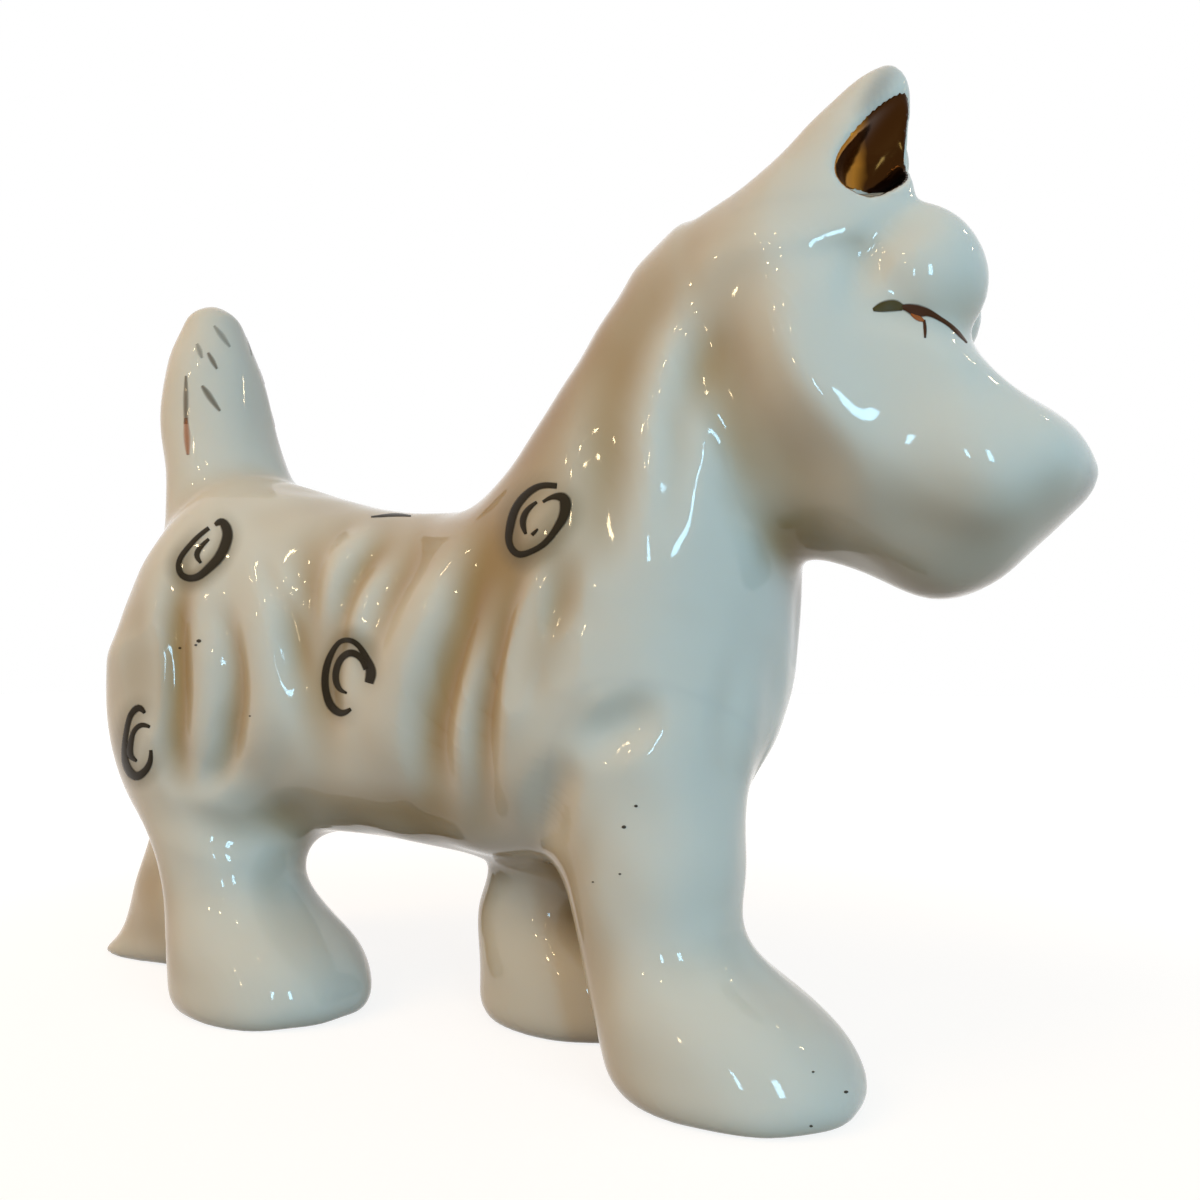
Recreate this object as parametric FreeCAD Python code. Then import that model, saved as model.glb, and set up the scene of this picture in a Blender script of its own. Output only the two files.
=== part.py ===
import FreeCAD, Part
import math
import os

# A walking terrier figure of white glazed porcelain, about 13 cm from heel to nose.
# The clay pieces are cast or pressed one by one and stuck up with slip, so each one
# is a solid of its own, trimmed to sit face to face on the piece that carries it.
# Lengths are millimetres: +X towards the nose, +Y the dog's left, +Z up from the soles.

# Trunk and neck, one hollow casting
trunk_length = 86.0
trunk_width = 34.0
leg_height = 18.0
trunk_rise = 66.0
wall = 3.0
vent_hole_diameter = 3.0
vent_place_share = 0.47
rump_rows_left_solid = 3

# Head, a hollow casting that turns a little to the dog's left
head_length = 37.5
head_depth = 39.0
head_width = 30.0
head_turn = 7.0
brow_length = 14.5
brow_width = 13.0
brow_depth = 14.0
brow_spread = 5.6
brow_along_share = 0.562
brow_below_share = 0.262
eye_tool_radius = 17.0
eye_hollow_depth = 1.0
eye_hollow_along_share = 0.49
eye_hollow_below_share = 0.43
nose_rows_left_solid = 4

# Ears, pressed solid and scooped out towards the front and the outside
ear_height = 18.5
ear_length = 18.2
ear_width = 11.5
ear_lean = 6.1
ear_tip_draw_in = 1.5
ear_spread = 7.8
ear_root_depth = 8.0
ear_along_share = 0.338
scoop_height = 13.4
scoop_length = 9.2
scoop_width = 8.0
scoop_forward = 5.2
scoop_outward = 2.4
scoop_start = 4.4
gilding_thickness = 0.25

# Tail, pressed solid
tail_height = 34.0
tail_diameter = 17.0
tail_root_depth = 9.0
tail_place_share = 0.106
tail_lean = -4.2

# Legs and feet, pressed solid
foot_length = 24.0
foot_width = 19.8
foot_height = 12.0
ankle_length = 16.6
ankle_width = 16.4
thigh_length = 20.0
thigh_width = 17.0
hip_height = 40.0
leg_power = 2.15

# Where the rear edge of each thigh meets the trunk, as a share of trunk_length, and how
# far foot and thigh are tucked in from the widest part of the trunk, at their outer edges.
fore_thigh_rear_share = 0.693
hind_thigh_rear_share = 0.023
fore_foot_tuck = 0.7
hind_foot_tuck = 0.1
fore_thigh_tuck_share = 0.05
hind_thigh_tuck_share = 0.056

# Each foot's heel, from the chest end of the trunk as a share of its length, and how
# far the ankle stands ahead of its heel, because the figure is caught in mid stride.
right_fore_heel_share = 0.814
right_fore_ankle_lead = -3.2
left_fore_heel_share = 0.546
left_fore_ankle_lead = -0.4
right_hind_heel_share = 0.154
right_hind_ankle_lead = -2.0
left_hind_heel_share = -0.156
left_hind_ankle_lead = 3.4

# How far a cutter runs past what it cuts
overrun = 2.0

# Points round one section, and the power that makes a section a plain ellipse
section_points = 16
round_power = 2.0
groove_points = 8

# Fur, pressed in as long grooves that fade out at both ends: the radius of the modelling
# tool, and how far it goes in
fur_tool_radius = 3.6
fur_depth = 0.75

# How far beyond its ends a groove fades, as a share of its depth, and the step with which
# the skin is felt to find its slope
fade_share = 0.35
feel = 1.0

# The height of the croup, where the tail stands, as a share of trunk_rise
croup_share = 0.66

# Trunk sections from rump to poll: top x, top z, bottom x, bottom z, half width, power.
# x is a share of trunk_length from the rump, z a share of trunk_rise above the belly.
trunk_shares = [
    (0.000, 0.318, 0.000, 0.258, 0.10, 2.0),
    (0.005, 0.372, 0.002, 0.200, 0.32, 2.0),
    (0.032, 0.472, 0.014, 0.095, 0.62, 2.1),
    (0.086, 0.600, 0.052, -0.005, 0.88, 2.2),
    (0.160, 0.672, 0.140, -0.034, 0.99, 2.3),
    (0.265, 0.655, 0.262, 0.004, 0.94, 2.3),
    (0.400, 0.606, 0.400, 0.022, 0.89, 2.3),
    (0.520, 0.582, 0.550, 0.010, 0.89, 2.3),
    (0.630, 0.610, 0.728, 0.005, 0.97, 2.3),
    (0.707, 0.720, 0.864, 0.062, 1.00, 2.2),
    (0.773, 0.848, 0.954, 0.190, 0.95, 2.1),
    (0.828, 0.942, 0.985, 0.345, 0.85, 2.1),
    (0.884, 0.998, 0.990, 0.478, 0.74, 2.1),
]

# Grooves in the trunk's fur from top to bottom, each point as x share and z share on the
# same plan, for the right flank. The left flank is its mirror image.
fur_grooves = [
    [(0.208, 0.520), (0.203, 0.415), (0.200, 0.346), (0.201, 0.260), (0.203, 0.190)],
    [(0.278, 0.440), (0.304, 0.345), (0.306, 0.278), (0.297, 0.211), (0.266, 0.160)],
    [(0.385, 0.520), (0.409, 0.426), (0.426, 0.344), (0.439, 0.263), (0.445, 0.180)],
    [(0.520, 0.540), (0.497, 0.473), (0.478, 0.407), (0.461, 0.330)],
    [(0.722, 0.540), (0.680, 0.428), (0.650, 0.348), (0.628, 0.267), (0.618, 0.192), (0.626, 0.120)],
    [(0.752, 0.490), (0.722, 0.382), (0.702, 0.283), (0.689, 0.196), (0.677, 0.120)],
    [(0.886, 0.890), (0.880, 0.818), (0.869, 0.731), (0.856, 0.643), (0.849, 0.540)],
]

# Head sections from the neck's seat to the nose, on the same plan: x is a share of
# head_length from the poll, z the share of head_depth below the poll.
head_shares = [
    (0.085, -0.026, 0.300, 0.880, 0.96, 2.1),
    (0.190, -0.042, 0.350, 0.890, 0.99, 2.1),
    (0.365, -0.030, 0.445, 0.925, 0.97, 2.1),
    (0.530, 0.065, 0.560, 0.982, 0.86, 2.1),
    (0.656, 0.232, 0.665, 0.992, 0.79, 2.1),
    (0.741, 0.388, 0.770, 0.962, 0.75, 2.1),
    (0.838, 0.502, 0.865, 0.895, 0.65, 2.1),
    (0.935, 0.600, 0.945, 0.815, 0.46, 2.0),
    (0.985, 0.665, 0.986, 0.750, 0.22, 2.0),
    (1.000, 0.695, 1.000, 0.720, 0.07, 2.0),
]

# Foot sections: height, rear and front as shares of the foot's height and length,
# and how much of the foot's width is left.
foot_shares = [
    (0.00, 0.055, 0.945, 0.93),
    (0.08, 0.020, 0.980, 0.98),
    (0.27, 0.000, 1.000, 1.00),
    (0.62, 0.000, 0.900, 0.96),
]

# Shank sections from ankle to hip: the share of the way up, and of the change in size
shank_shares = [(0.00, 0.00), (0.25, 0.18), (0.52, 0.70), (0.78, 1.00), (1.00, 0.55)]

# Tail and ear sections: height, length and width shares, and the share of the lean
tail_shares = [
    (0.00, 1.12, 1.12, -0.50),
    (0.20, 1.02, 1.04, -0.18),
    (0.35, 0.92, 0.95, 0.18),
    (0.50, 0.86, 0.88, 0.60),
    (0.65, 0.80, 0.81, 0.85),
    (0.80, 0.65, 0.65, 0.94),
    (0.91, 0.47, 0.47, 0.98),
    (0.975, 0.26, 0.26, 1.00),
    (1.00, 0.07, 0.07, 1.00),
]
ear_shares = [
    (0.00, 1.00, 1.00, 0.00),
    (0.34, 0.86, 0.86, 0.25),
    (0.60, 0.64, 0.68, 0.52),
    (0.80, 0.43, 0.48, 0.76),
    (0.93, 0.24, 0.27, 0.92),
    (1.00, 0.06, 0.07, 1.00),
]
scoop_shares = [
    (0.00, 0.10, 0.10, 0.00),
    (0.10, 0.62, 0.62, 0.04),
    (0.30, 1.00, 1.00, 0.18),
    (0.55, 0.86, 0.86, 0.45),
    (0.80, 0.50, 0.52, 0.76),
    (0.95, 0.20, 0.22, 0.95),
    (1.00, 0.06, 0.06, 1.00),
]


def power_circle(count, power):
    """Cosine and sine round a circle, squared up as a superellipse of that power."""
    for step in range(count):
        angle = 2 * math.pi * step / count
        c, s = math.cos(angle), math.sin(angle)
        yield (math.copysign(abs(c) ** (2 / power), c), math.copysign(abs(s) ** (2 / power), s))


def section(centre, rise, side, power=round_power, count=section_points):
    """A closed smooth wire round centre: rise and side are its two half axes."""
    points = [centre + rise * c + side * s for c, s in power_circle(count, power)]
    curve = Part.BSplineCurve()
    curve.interpolate(Points=points, PeriodicFlag=True)
    return Part.Wire(curve.toShape())


def loft(sections):
    """A smooth solid through sections, each given as centre, rise, side and power."""
    return Part.makeLoft([section(*one) for one in sections], True, False)


def shrunk(one, by):
    """The same section drawn in by a wall on every side."""
    centre, rise, side, power = one
    return (centre, rise * (1 - by / rise.Length), side * (1 - by / side.Length), power)


def spine_sections(points, half_widths, powers):
    """Sections that stand across the XZ plane between a top and a bottom point."""
    made = []
    for (top, bottom), half_width, power in zip(points, half_widths, powers):
        centre = (top + bottom) * 0.5
        made.append((centre, top - centre, FreeCAD.Vector(0, half_width, 0), power))
    return made


def level_sections(table, place, height, length, width, lean, spread_change=0.0):
    """Level sections up a tapering piece whose middle line leans as it rises."""
    made = []
    for up, long, wide, along in table:
        middle = place + FreeCAD.Vector(lean * along, spread_change * along, height * up)
        made.append((middle, FreeCAD.Vector(length * long / 2, 0, 0),
                     FreeCAD.Vector(0, width * wide / 2, 0), round_power))
    return made


def trunk_point(x_share, z_share):
    return FreeCAD.Vector(trunk_length * x_share, 0, leg_height + trunk_rise * z_share)


def trunk_sections():
    points = [(trunk_point(tx, tz), trunk_point(bx, bz)) for tx, tz, bx, bz, w, p in trunk_shares]
    half_widths = [trunk_width / 2 * row[4] for row in trunk_shares]
    return spine_sections(points, half_widths, [row[5] for row in trunk_shares])


body = trunk_sections()
neck_seat = body[-1]
poll = neck_seat[0] + neck_seat[1]


def head_point(x_share, z_share, y=0.0):
    return poll + FreeCAD.Vector(head_length * x_share, y, -head_depth * z_share)


def straight_head_sections():
    points = [(head_point(tx, tz), head_point(bx, bz)) for tx, tz, bx, bz, w, p in head_shares]
    half_widths = [head_width / 2 * row[4] for row in head_shares]
    return spine_sections(points, half_widths, [row[5] for row in head_shares])


def head_sections():
    """The neck's seat, then the head's own sections turned about the neck's middle."""
    return [neck_seat] + [turned(one) for one in straight_head_sections()]


def head_rotation():
    return FreeCAD.Rotation(FreeCAD.Vector(0, 0, 1), head_turn)


def on_turned_head(point):
    """Where a point of the straight head goes when the head turns."""
    middle = FreeCAD.Vector(neck_seat[0].x, 0, 0)
    return middle + head_rotation().multVec(point - middle)


def turned(one):
    centre, rise, side, power = one
    turn = head_rotation()
    return (on_turned_head(centre), turn.multVec(rise), turn.multVec(side), power)


def skin_y(solid, x, z):
    """How far out on the right a level line from the middle plane leaves the solid."""
    line = Part.makeLine(FreeCAD.Vector(x, 0, z), FreeCAD.Vector(x, -trunk_width, z))
    return min(vertex.Y for vertex in line.common(solid).Vertexes)


def felt(solid, point):
    """The point's place on the right flank, and the outward direction of the skin there."""
    y = skin_y(solid, point.x, point.z)
    slope_x = (y - skin_y(solid, point.x - feel, point.z)) / feel
    slope_z = (y - skin_y(solid, point.x, point.z - feel)) / feel
    outward = FreeCAD.Vector(slope_x, -1, slope_z)
    return FreeCAD.Vector(point.x, y, point.z), outward.normalize()


def mirrored(vector):
    return FreeCAD.Vector(vector.x, -vector.y, vector.z)


def groove_tools(solid, points):
    """The right and the left cutter of one groove: a round bar that follows the skin, sunk
    to full depth at the middle of its way and just clear of the skin at both ends."""
    places = [felt(solid, point) for point in points]
    right, left = [], []
    for index, (place, outward) in enumerate(places):
        before, after = places[max(index - 1, 0)][0], places[min(index + 1, len(places) - 1)][0]
        across = (after - before).cross(outward).normalize()
        way = 2 * index / (len(places) - 1) - 1
        sunk = fur_depth * (1 - (1 + fade_share) * way ** 2)
        ring = (place + outward * (fur_tool_radius - sunk), outward * fur_tool_radius, across * fur_tool_radius)
        right.append(section(*ring, round_power, groove_points))
        left.append(section(*[mirrored(vector) for vector in ring], round_power, groove_points))
    return [Part.makeLoft(rings, True, False) for rings in (right, left)]


def turned_shape(shape):
    shape = shape.copy()
    shape.rotate(FreeCAD.Vector(neck_seat[0].x, 0, 0), FreeCAD.Vector(0, 0, 1), head_turn)
    return shape


def ball(centre, half_length, half_width, half_height):
    """An egg-shaped lobe: a sphere of radius one stretched to three half sizes."""
    matrix = FreeCAD.Matrix()
    matrix.scale(half_length, half_width, half_height)
    matrix.move(centre)
    return Part.makeSphere(1.0).transformGeometry(matrix)


def trunk_inside():
    """The hollow that the slip leaves, open where the neck meets the head."""
    return loft([shrunk(one, wall) for one in body[rump_rows_left_solid:]])


def vent_hole():
    """A round hole in the belly that lets the air out of the casting in the kiln."""
    place = trunk_point(vent_place_share, 0)
    place.z = place.z - overrun
    return Part.makeCylinder(vent_hole_diameter / 2, wall + 2 * overrun, place)


def fur_tools(solid):
    """The cutters of every fur groove on both flanks."""
    tools = []
    for groove in fur_grooves:
        points = [trunk_point(x_share, z_share) for x_share, z_share in groove]
        tools.extend(groove_tools(solid, points))
    return tools


def eye_hollows(straight_skull):
    """The round cutters of the shallow hollows between cheek, brow and muzzle."""
    place, outward = felt(straight_skull, head_point(eye_hollow_along_share, eye_hollow_below_share))
    centre = place + outward * (eye_tool_radius - eye_hollow_depth)
    return [Part.makeSphere(eye_tool_radius, on_turned_head(one)) for one in (centre, mirrored(centre))]


def head_outside():
    straight_skull = loft([neck_seat] + straight_head_sections())
    skull = loft(head_sections()).cut(eye_hollows(straight_skull))
    for side in (-1, 1):
        place = head_point(brow_along_share, brow_below_share, side * brow_spread)
        lobe = ball(on_turned_head(place), brow_length / 2, brow_width / 2, brow_depth / 2)
        skull = skull.fuse(lobe)
    return skull.removeSplitter()


def head_inside():
    return loft([shrunk(one, wall) for one in head_sections()[:-nose_rows_left_solid]])


def ear_pieces(side, skull):
    """One pricked ear and the gilding that lines its scooped front."""
    root = head_point(ear_along_share, 0, side * ear_spread) - FreeCAD.Vector(0, 0, ear_root_depth)
    tip_shift = -side * ear_tip_draw_in
    solid = loft(level_sections(ear_shares, root, ear_height, ear_length, ear_width, ear_lean, tip_shift))
    scoop_root = root + FreeCAD.Vector(scoop_forward, side * scoop_outward, scoop_start)
    scoop = loft(level_sections(scoop_shares, scoop_root, scoop_height, scoop_length, scoop_width,
                                ear_lean, tip_shift))
    film = gilding_thickness
    bare = loft(level_sections(scoop_shares, scoop_root + FreeCAD.Vector(0, 0, film), scoop_height - 2 * film,
                               scoop_length - 2 * film, scoop_width - 2 * film, ear_lean, tip_shift))
    gilding = scoop.common(solid).cut(bare)
    return [turned_shape(shape).cut(skull) for shape in (solid.cut(scoop), gilding)]


def tail_piece(outside):
    root = trunk_point(tail_place_share, croup_share)
    root.z = root.z - tail_root_depth
    return loft(level_sections(tail_shares, root, tail_height, tail_diameter, tail_diameter, tail_lean)).cut(outside)


def leg_section(side, rear, outer, height, length, width):
    """A level section whose rear and outer edges are given."""
    centre = FreeCAD.Vector(rear + length / 2, side * (outer - width / 2), height)
    return (centre, FreeCAD.Vector(length / 2, 0, 0), FreeCAD.Vector(0, width / 2, 0), leg_power)


def leg_piece(side, heel_share, ankle_lead, foot_tuck, thigh_rear_share, tuck_share, outside):
    """A flat-soled foot under a shank that leans up into the trunk, trimmed to its skin."""
    heel = trunk_length * heel_share
    foot_middle = (trunk_width - foot_width) / 2 - foot_tuck
    sections = []
    for up, rear, front, wide in foot_shares:
        width = foot_width * wide
        sections.append(leg_section(side, heel + foot_length * rear + ankle_lead * up, foot_middle + width / 2,
                                    foot_height * up, foot_length * (front - rear), width))
    ankle_rear, ankle_outer = heel + ankle_lead, foot_middle + ankle_width / 2
    thigh_rear, thigh_outer = trunk_length * thigh_rear_share, trunk_width * (0.5 - tuck_share)
    for along, growth in shank_shares:
        sections.append(leg_section(
            side,
            ankle_rear + (thigh_rear - ankle_rear) * along,
            ankle_outer + (thigh_outer - ankle_outer) * along,
            foot_height + (hip_height - foot_height) * along,
            ankle_length + (thigh_length - ankle_length) * growth,
            ankle_width + (thigh_width - ankle_width) * growth))
    return loft(sections).cut(outside)


outside = loft(body)
skull = head_outside()
nodes = {
    "trunk": outside.cut(fur_tools(outside)).cut(trunk_inside()).cut(vent_hole()),
    "head": skull.cut(head_inside()),
    "tail": tail_piece(outside),
}
for side, name in ((-1, "right"), (1, "left")):
    ear, gilding = ear_pieces(side, skull)
    nodes[name + "_ear"] = ear
    nodes[name + "_ear_gilding"] = gilding

fore = (fore_foot_tuck, fore_thigh_rear_share, fore_thigh_tuck_share)
hind = (hind_foot_tuck, hind_thigh_rear_share, hind_thigh_tuck_share)
strides = {
    "right_fore_leg": (-1, right_fore_heel_share, right_fore_ankle_lead) + fore,
    "left_fore_leg": (1, left_fore_heel_share, left_fore_ankle_lead) + fore,
    "right_hind_leg": (-1, right_hind_heel_share, right_hind_ankle_lead) + hind,
    "left_hind_leg": (1, left_hind_heel_share, left_hind_ankle_lead) + hind,
}
for name, stride in strides.items():
    nodes[name] = leg_piece(*stride, outside)

# The origin goes under the middle of the whole figure, on the ground.
os.makedirs("parts", exist_ok=True)
box = FreeCAD.BoundBox()
for shape in nodes.values():
    box.add(shape.optimalBoundingBox(False, False))
for name, shape in nodes.items():
    shape.translate(FreeCAD.Vector(-box.Center.x, -box.Center.y, -box.ZMin))
    print(name, len(shape.Solids), "solids", round(shape.Volume), "mm3", shape.isValid())
    shape.exportStep("parts/" + name + ".step")
print("size", round(box.XLength, 1), round(box.YLength, 1), round(box.ZLength, 1))
print("offset", round(box.Center.x, 2), round(box.Center.y, 2), round(box.ZMin, 2))
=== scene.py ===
# %% [markdown]
# # A porcelain terrier in mid stride
#
# A small glazed figure is made from several clay pieces: a hollow body, a hollow head, and
# ears, tail and legs that are pressed solid and stuck on with slip. Slip and glaze then run
# into every joint, so the finished skin is one soft surface. This script follows the same
# order. It makes each clay piece as a simple grid, melts the pieces together, presses the
# fur into the skin, and at last parts the skin at the old joints, so that each piece of
# the construction has its own closed mesh.

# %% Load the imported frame
import math
import bpy
import numpy as np
import openvdb
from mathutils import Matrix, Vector
from mathutils.bvhtree import BVHTree


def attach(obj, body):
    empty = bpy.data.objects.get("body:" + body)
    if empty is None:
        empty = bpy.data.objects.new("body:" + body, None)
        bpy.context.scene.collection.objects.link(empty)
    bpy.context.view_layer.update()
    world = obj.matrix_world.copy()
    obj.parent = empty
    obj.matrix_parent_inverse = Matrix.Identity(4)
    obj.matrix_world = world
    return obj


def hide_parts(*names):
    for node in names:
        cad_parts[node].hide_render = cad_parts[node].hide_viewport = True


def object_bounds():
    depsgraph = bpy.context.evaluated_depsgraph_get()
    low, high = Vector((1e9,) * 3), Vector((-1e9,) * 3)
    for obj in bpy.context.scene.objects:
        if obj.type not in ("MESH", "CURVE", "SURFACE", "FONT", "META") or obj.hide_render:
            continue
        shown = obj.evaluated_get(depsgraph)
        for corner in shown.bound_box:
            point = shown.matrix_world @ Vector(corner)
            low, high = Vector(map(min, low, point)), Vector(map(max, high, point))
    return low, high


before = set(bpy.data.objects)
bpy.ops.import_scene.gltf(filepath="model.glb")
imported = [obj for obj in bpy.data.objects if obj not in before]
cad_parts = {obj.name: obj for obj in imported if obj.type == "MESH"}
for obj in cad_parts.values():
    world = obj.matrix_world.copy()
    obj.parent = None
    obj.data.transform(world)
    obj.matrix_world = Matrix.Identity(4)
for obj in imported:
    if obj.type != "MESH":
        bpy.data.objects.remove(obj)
cad_low, cad_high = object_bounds()
print("nodes", [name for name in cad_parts])

# %% [markdown]
# ## Sizes of the clay pieces
#
# Everything is worked out in millimetres in the trunk's own frame: x runs from the rump to
# the nose, y to the dog's left, and z up from the soles. These are the sizes that a model
# maker would write on the drawing.

# %% Sizes in millimetres
trunk_length, trunk_width, leg_height, trunk_rise = 86.0, 34.0, 18.0, 66.0
head_length, head_depth, head_width = 37.5, 39.0, 30.0
head_turn = 7.0
brow_size = np.array([14.5, 13.0, 14.0])
brow_spread, brow_along_share, brow_below_share = 5.6, 0.562, 0.262
ear_height, ear_length, ear_width, ear_lean = 18.5, 18.2, 11.5, 6.1
ear_tip_draw_in, ear_spread, ear_root_depth, ear_along_share = 1.5, 7.8, 8.0, 0.338
scoop_height, scoop_length, scoop_width = 13.4, 9.2, 8.0
scoop_forward, scoop_outward, scoop_start = 5.2, 2.4, 4.4
tail_height, tail_diameter, tail_root_depth, tail_lean = 34.0, 17.0, 9.0, -4.2
tail_place_share, croup_share = 0.106, 0.66
foot_length, foot_width, foot_height = 24.0, 19.8, 12.0
ankle_length, ankle_width, thigh_length, thigh_width = 16.6, 16.4, 20.0, 17.0
hip_height, leg_power = 40.0, 2.15
fore = dict(foot_tuck=0.7, tuck_share=0.05, thigh_rear_share=0.693)
hind = dict(foot_tuck=0.1, tuck_share=0.056, thigh_rear_share=0.023)
vent_hole_diameter, vent_place_share = 3.0, 0.47
print("trunk", trunk_length, "x", trunk_width, "mm, head", head_length, "x", head_width, "mm")

# %% [markdown]
# The tables hold the sections as shares of those sizes. Along the trunk and the head a row
# has the top point, the bottom point, the half width and the squareness of one section. In
# what rises from them, a row has height, length, width and lean.

# %% Sections as shares of the sizes
trunk_shares = np.array([
    (0.000, 0.318, 0.000, 0.258, 0.10, 2.0),
    (0.005, 0.372, 0.002, 0.200, 0.32, 2.0),
    (0.032, 0.472, 0.014, 0.095, 0.62, 2.1),
    (0.086, 0.600, 0.052, -0.005, 0.88, 2.2),
    (0.160, 0.672, 0.140, -0.034, 0.99, 2.3),
    (0.265, 0.655, 0.262, 0.004, 0.94, 2.3),
    (0.400, 0.606, 0.400, 0.022, 0.89, 2.3),
    (0.520, 0.582, 0.550, 0.010, 0.89, 2.3),
    (0.630, 0.610, 0.728, 0.005, 0.97, 2.3),
    (0.707, 0.720, 0.864, 0.062, 1.00, 2.2),
    (0.773, 0.848, 0.954, 0.190, 0.95, 2.1),
    (0.828, 0.942, 0.985, 0.345, 0.85, 2.1),
    (0.884, 0.998, 0.990, 0.478, 0.74, 2.1),
])
head_shares = np.array([
    (0.085, -0.026, 0.300, 0.880, 0.96, 2.1),
    (0.190, -0.042, 0.350, 0.890, 0.99, 2.1),
    (0.365, -0.030, 0.445, 0.925, 0.97, 2.1),
    (0.530, 0.065, 0.560, 0.982, 0.86, 2.1),
    (0.656, 0.232, 0.665, 0.992, 0.79, 2.1),
    (0.741, 0.388, 0.770, 0.962, 0.75, 2.1),
    (0.838, 0.502, 0.865, 0.895, 0.65, 2.1),
    (0.935, 0.600, 0.945, 0.815, 0.46, 2.0),
    (0.985, 0.665, 0.986, 0.750, 0.22, 2.0),
    (1.000, 0.695, 1.000, 0.720, 0.07, 2.0),
])
foot_shares = np.array([
    (0.00, 0.055, 0.945, 0.93),
    (0.08, 0.020, 0.980, 0.98),
    (0.27, 0.000, 1.000, 1.00),
    (0.62, 0.000, 0.900, 0.96),
])
shank_shares = np.array([(0.00, 0.00), (0.25, 0.18), (0.52, 0.70), (0.78, 1.00), (1.00, 0.55)])
tail_shares = np.array([
    (0.00, 1.12, 1.12, -0.50),
    (0.20, 1.02, 1.04, -0.18),
    (0.35, 0.92, 0.95, 0.18),
    (0.50, 0.86, 0.88, 0.60),
    (0.65, 0.80, 0.81, 0.85),
    (0.80, 0.65, 0.65, 0.94),
    (0.91, 0.47, 0.47, 0.98),
    (0.975, 0.26, 0.26, 1.00),
    (1.00, 0.07, 0.07, 1.00),
])
ear_shares = np.array([
    (0.00, 1.00, 1.00, 0.00),
    (0.34, 0.86, 0.86, 0.25),
    (0.60, 0.64, 0.68, 0.52),
    (0.80, 0.43, 0.48, 0.76),
    (0.93, 0.24, 0.27, 0.92),
    (1.00, 0.06, 0.07, 1.00),
])
scoop_shares = np.array([
    (0.00, 0.10, 0.10, 0.00),
    (0.10, 0.62, 0.62, 0.04),
    (0.30, 1.00, 1.00, 0.18),
    (0.55, 0.86, 0.86, 0.45),
    (0.80, 0.50, 0.52, 0.76),
    (0.95, 0.20, 0.22, 0.95),
    (1.00, 0.06, 0.06, 1.00),
])
print("rows", len(trunk_shares), len(head_shares), len(tail_shares))

# %% [markdown]
# ## A clay piece as a grid
#
# A rounded piece is a stack of oval rings. The table gives only the few rings that the
# shape needs. A natural cubic spline gives the rings between them, because its curvature
# is continuous, and a gloss shows every break in curvature.

# %% Rings between rings
RINGS, POINTS = 160, 120
print("a grid has", RINGS, "rings of", POINTS, "points")


def flow(keys, places, count=RINGS):
    """Rows between the rows of keys, which stand at places. Each column is a natural cubic
    spline: one small linear system gives the second derivatives, which are nought at the ends."""
    gap = np.diff(places)
    slope = np.diff(keys, axis=0) / gap[:, None]
    bend = np.zeros_like(keys)
    system = np.diag(2 * (gap[:-1] + gap[1:])) + np.diag(gap[1:-1], 1) + np.diag(gap[1:-1], -1)
    bend[1:-1] = np.linalg.solve(system, 6 * np.diff(slope, axis=0))
    at = np.linspace(places[0], places[-1], count)
    i = np.clip(np.searchsorted(places, at, "right") - 1, 0, len(gap) - 1)
    left, right, h = (at - places[i])[:, None], (places[i + 1] - at)[:, None], gap[i][:, None]
    return ((bend[i] * right**3 + bend[i + 1] * left**3) / (6 * h)
            + (keys[i] / h - bend[i] * h / 6) * right + (keys[i + 1] / h - bend[i + 1] * h / 6) * left)


def rings(centre, rise, side, power):
    """A grid of points: centre + rise * cosine + side * sine, with cosine and sine raised
    to 2 / power, which makes each ring a superellipse."""
    turn = np.linspace(0, 2 * np.pi, POINTS, endpoint=False)
    c, s = np.cos(turn), np.sin(turn)
    c = np.sign(c) * np.abs(c) ** (2 / power[:, None])
    s = np.sign(s) * np.abs(s) ** (2 / power[:, None])
    return centre[:, None] + rise[:, None] * c[..., None] + side[:, None] * s[..., None]


def along(points):
    """The length of the way along a row of points, from nought."""
    steps = np.linalg.norm(np.diff(points, axis=0), axis=1)
    return np.concatenate([[0], np.cumsum(steps)])


def spine_piece(tops, bottoms, half_widths, powers):
    """Rings that stand between a top and a bottom line in the plane y = 0."""
    keys = np.hstack([tops, bottoms, half_widths[:, None], powers[:, None]])
    row = flow(keys, along(keys[:, :6]))
    top, bottom = row[:, :3], row[:, 3:6]
    side = row[:, 6:7] * (0, 1, 0)
    return rings((top + bottom) / 2, (top - bottom) / 2, side, row[:, 7])


def level_piece(middles, half_lengths, half_widths, power=2.0):
    """Level rings up a piece that tapers and leans."""
    keys = np.hstack([middles, half_lengths[:, None], half_widths[:, None]])
    row = flow(keys, keys[:, 2])
    return rings(row[:, :3], row[:, 3:4] * (1, 0, 0), row[:, 4:5] * (0, 1, 0), np.full(RINGS, power))


# %% [markdown]
# Body and neck are one slip casting, so they share one run of rings. The table gives the top
# and the bottom of each ring in the middle plane, and the rings lean with them, as the rings
# of a bent hose do. Level rings couldn't follow the neck.

# %% The trunk with the neck
def trunk_point(x_share, z_share):
    """A point in the middle plane: shares of the trunk's length, and of its rise above the legs."""
    return np.array([trunk_length * x_share, 0.0, leg_height + trunk_rise * z_share])


trunk_tops = np.array([trunk_point(x, z) for x, z in trunk_shares[:, :2]])
trunk_bottoms = np.array([trunk_point(x, z) for x, z in trunk_shares[:, 2:4]])
trunk_grid = spine_piece(trunk_tops, trunk_bottoms, trunk_width / 2 * trunk_shares[:, 4], trunk_shares[:, 5])
poll, throat = trunk_tops[-1], trunk_bottoms[-1]
neck_middle = (poll + throat) / 2
print("trunk grid", trunk_grid.shape, "poll", poll.round(1), "throat", throat.round(1))

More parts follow.
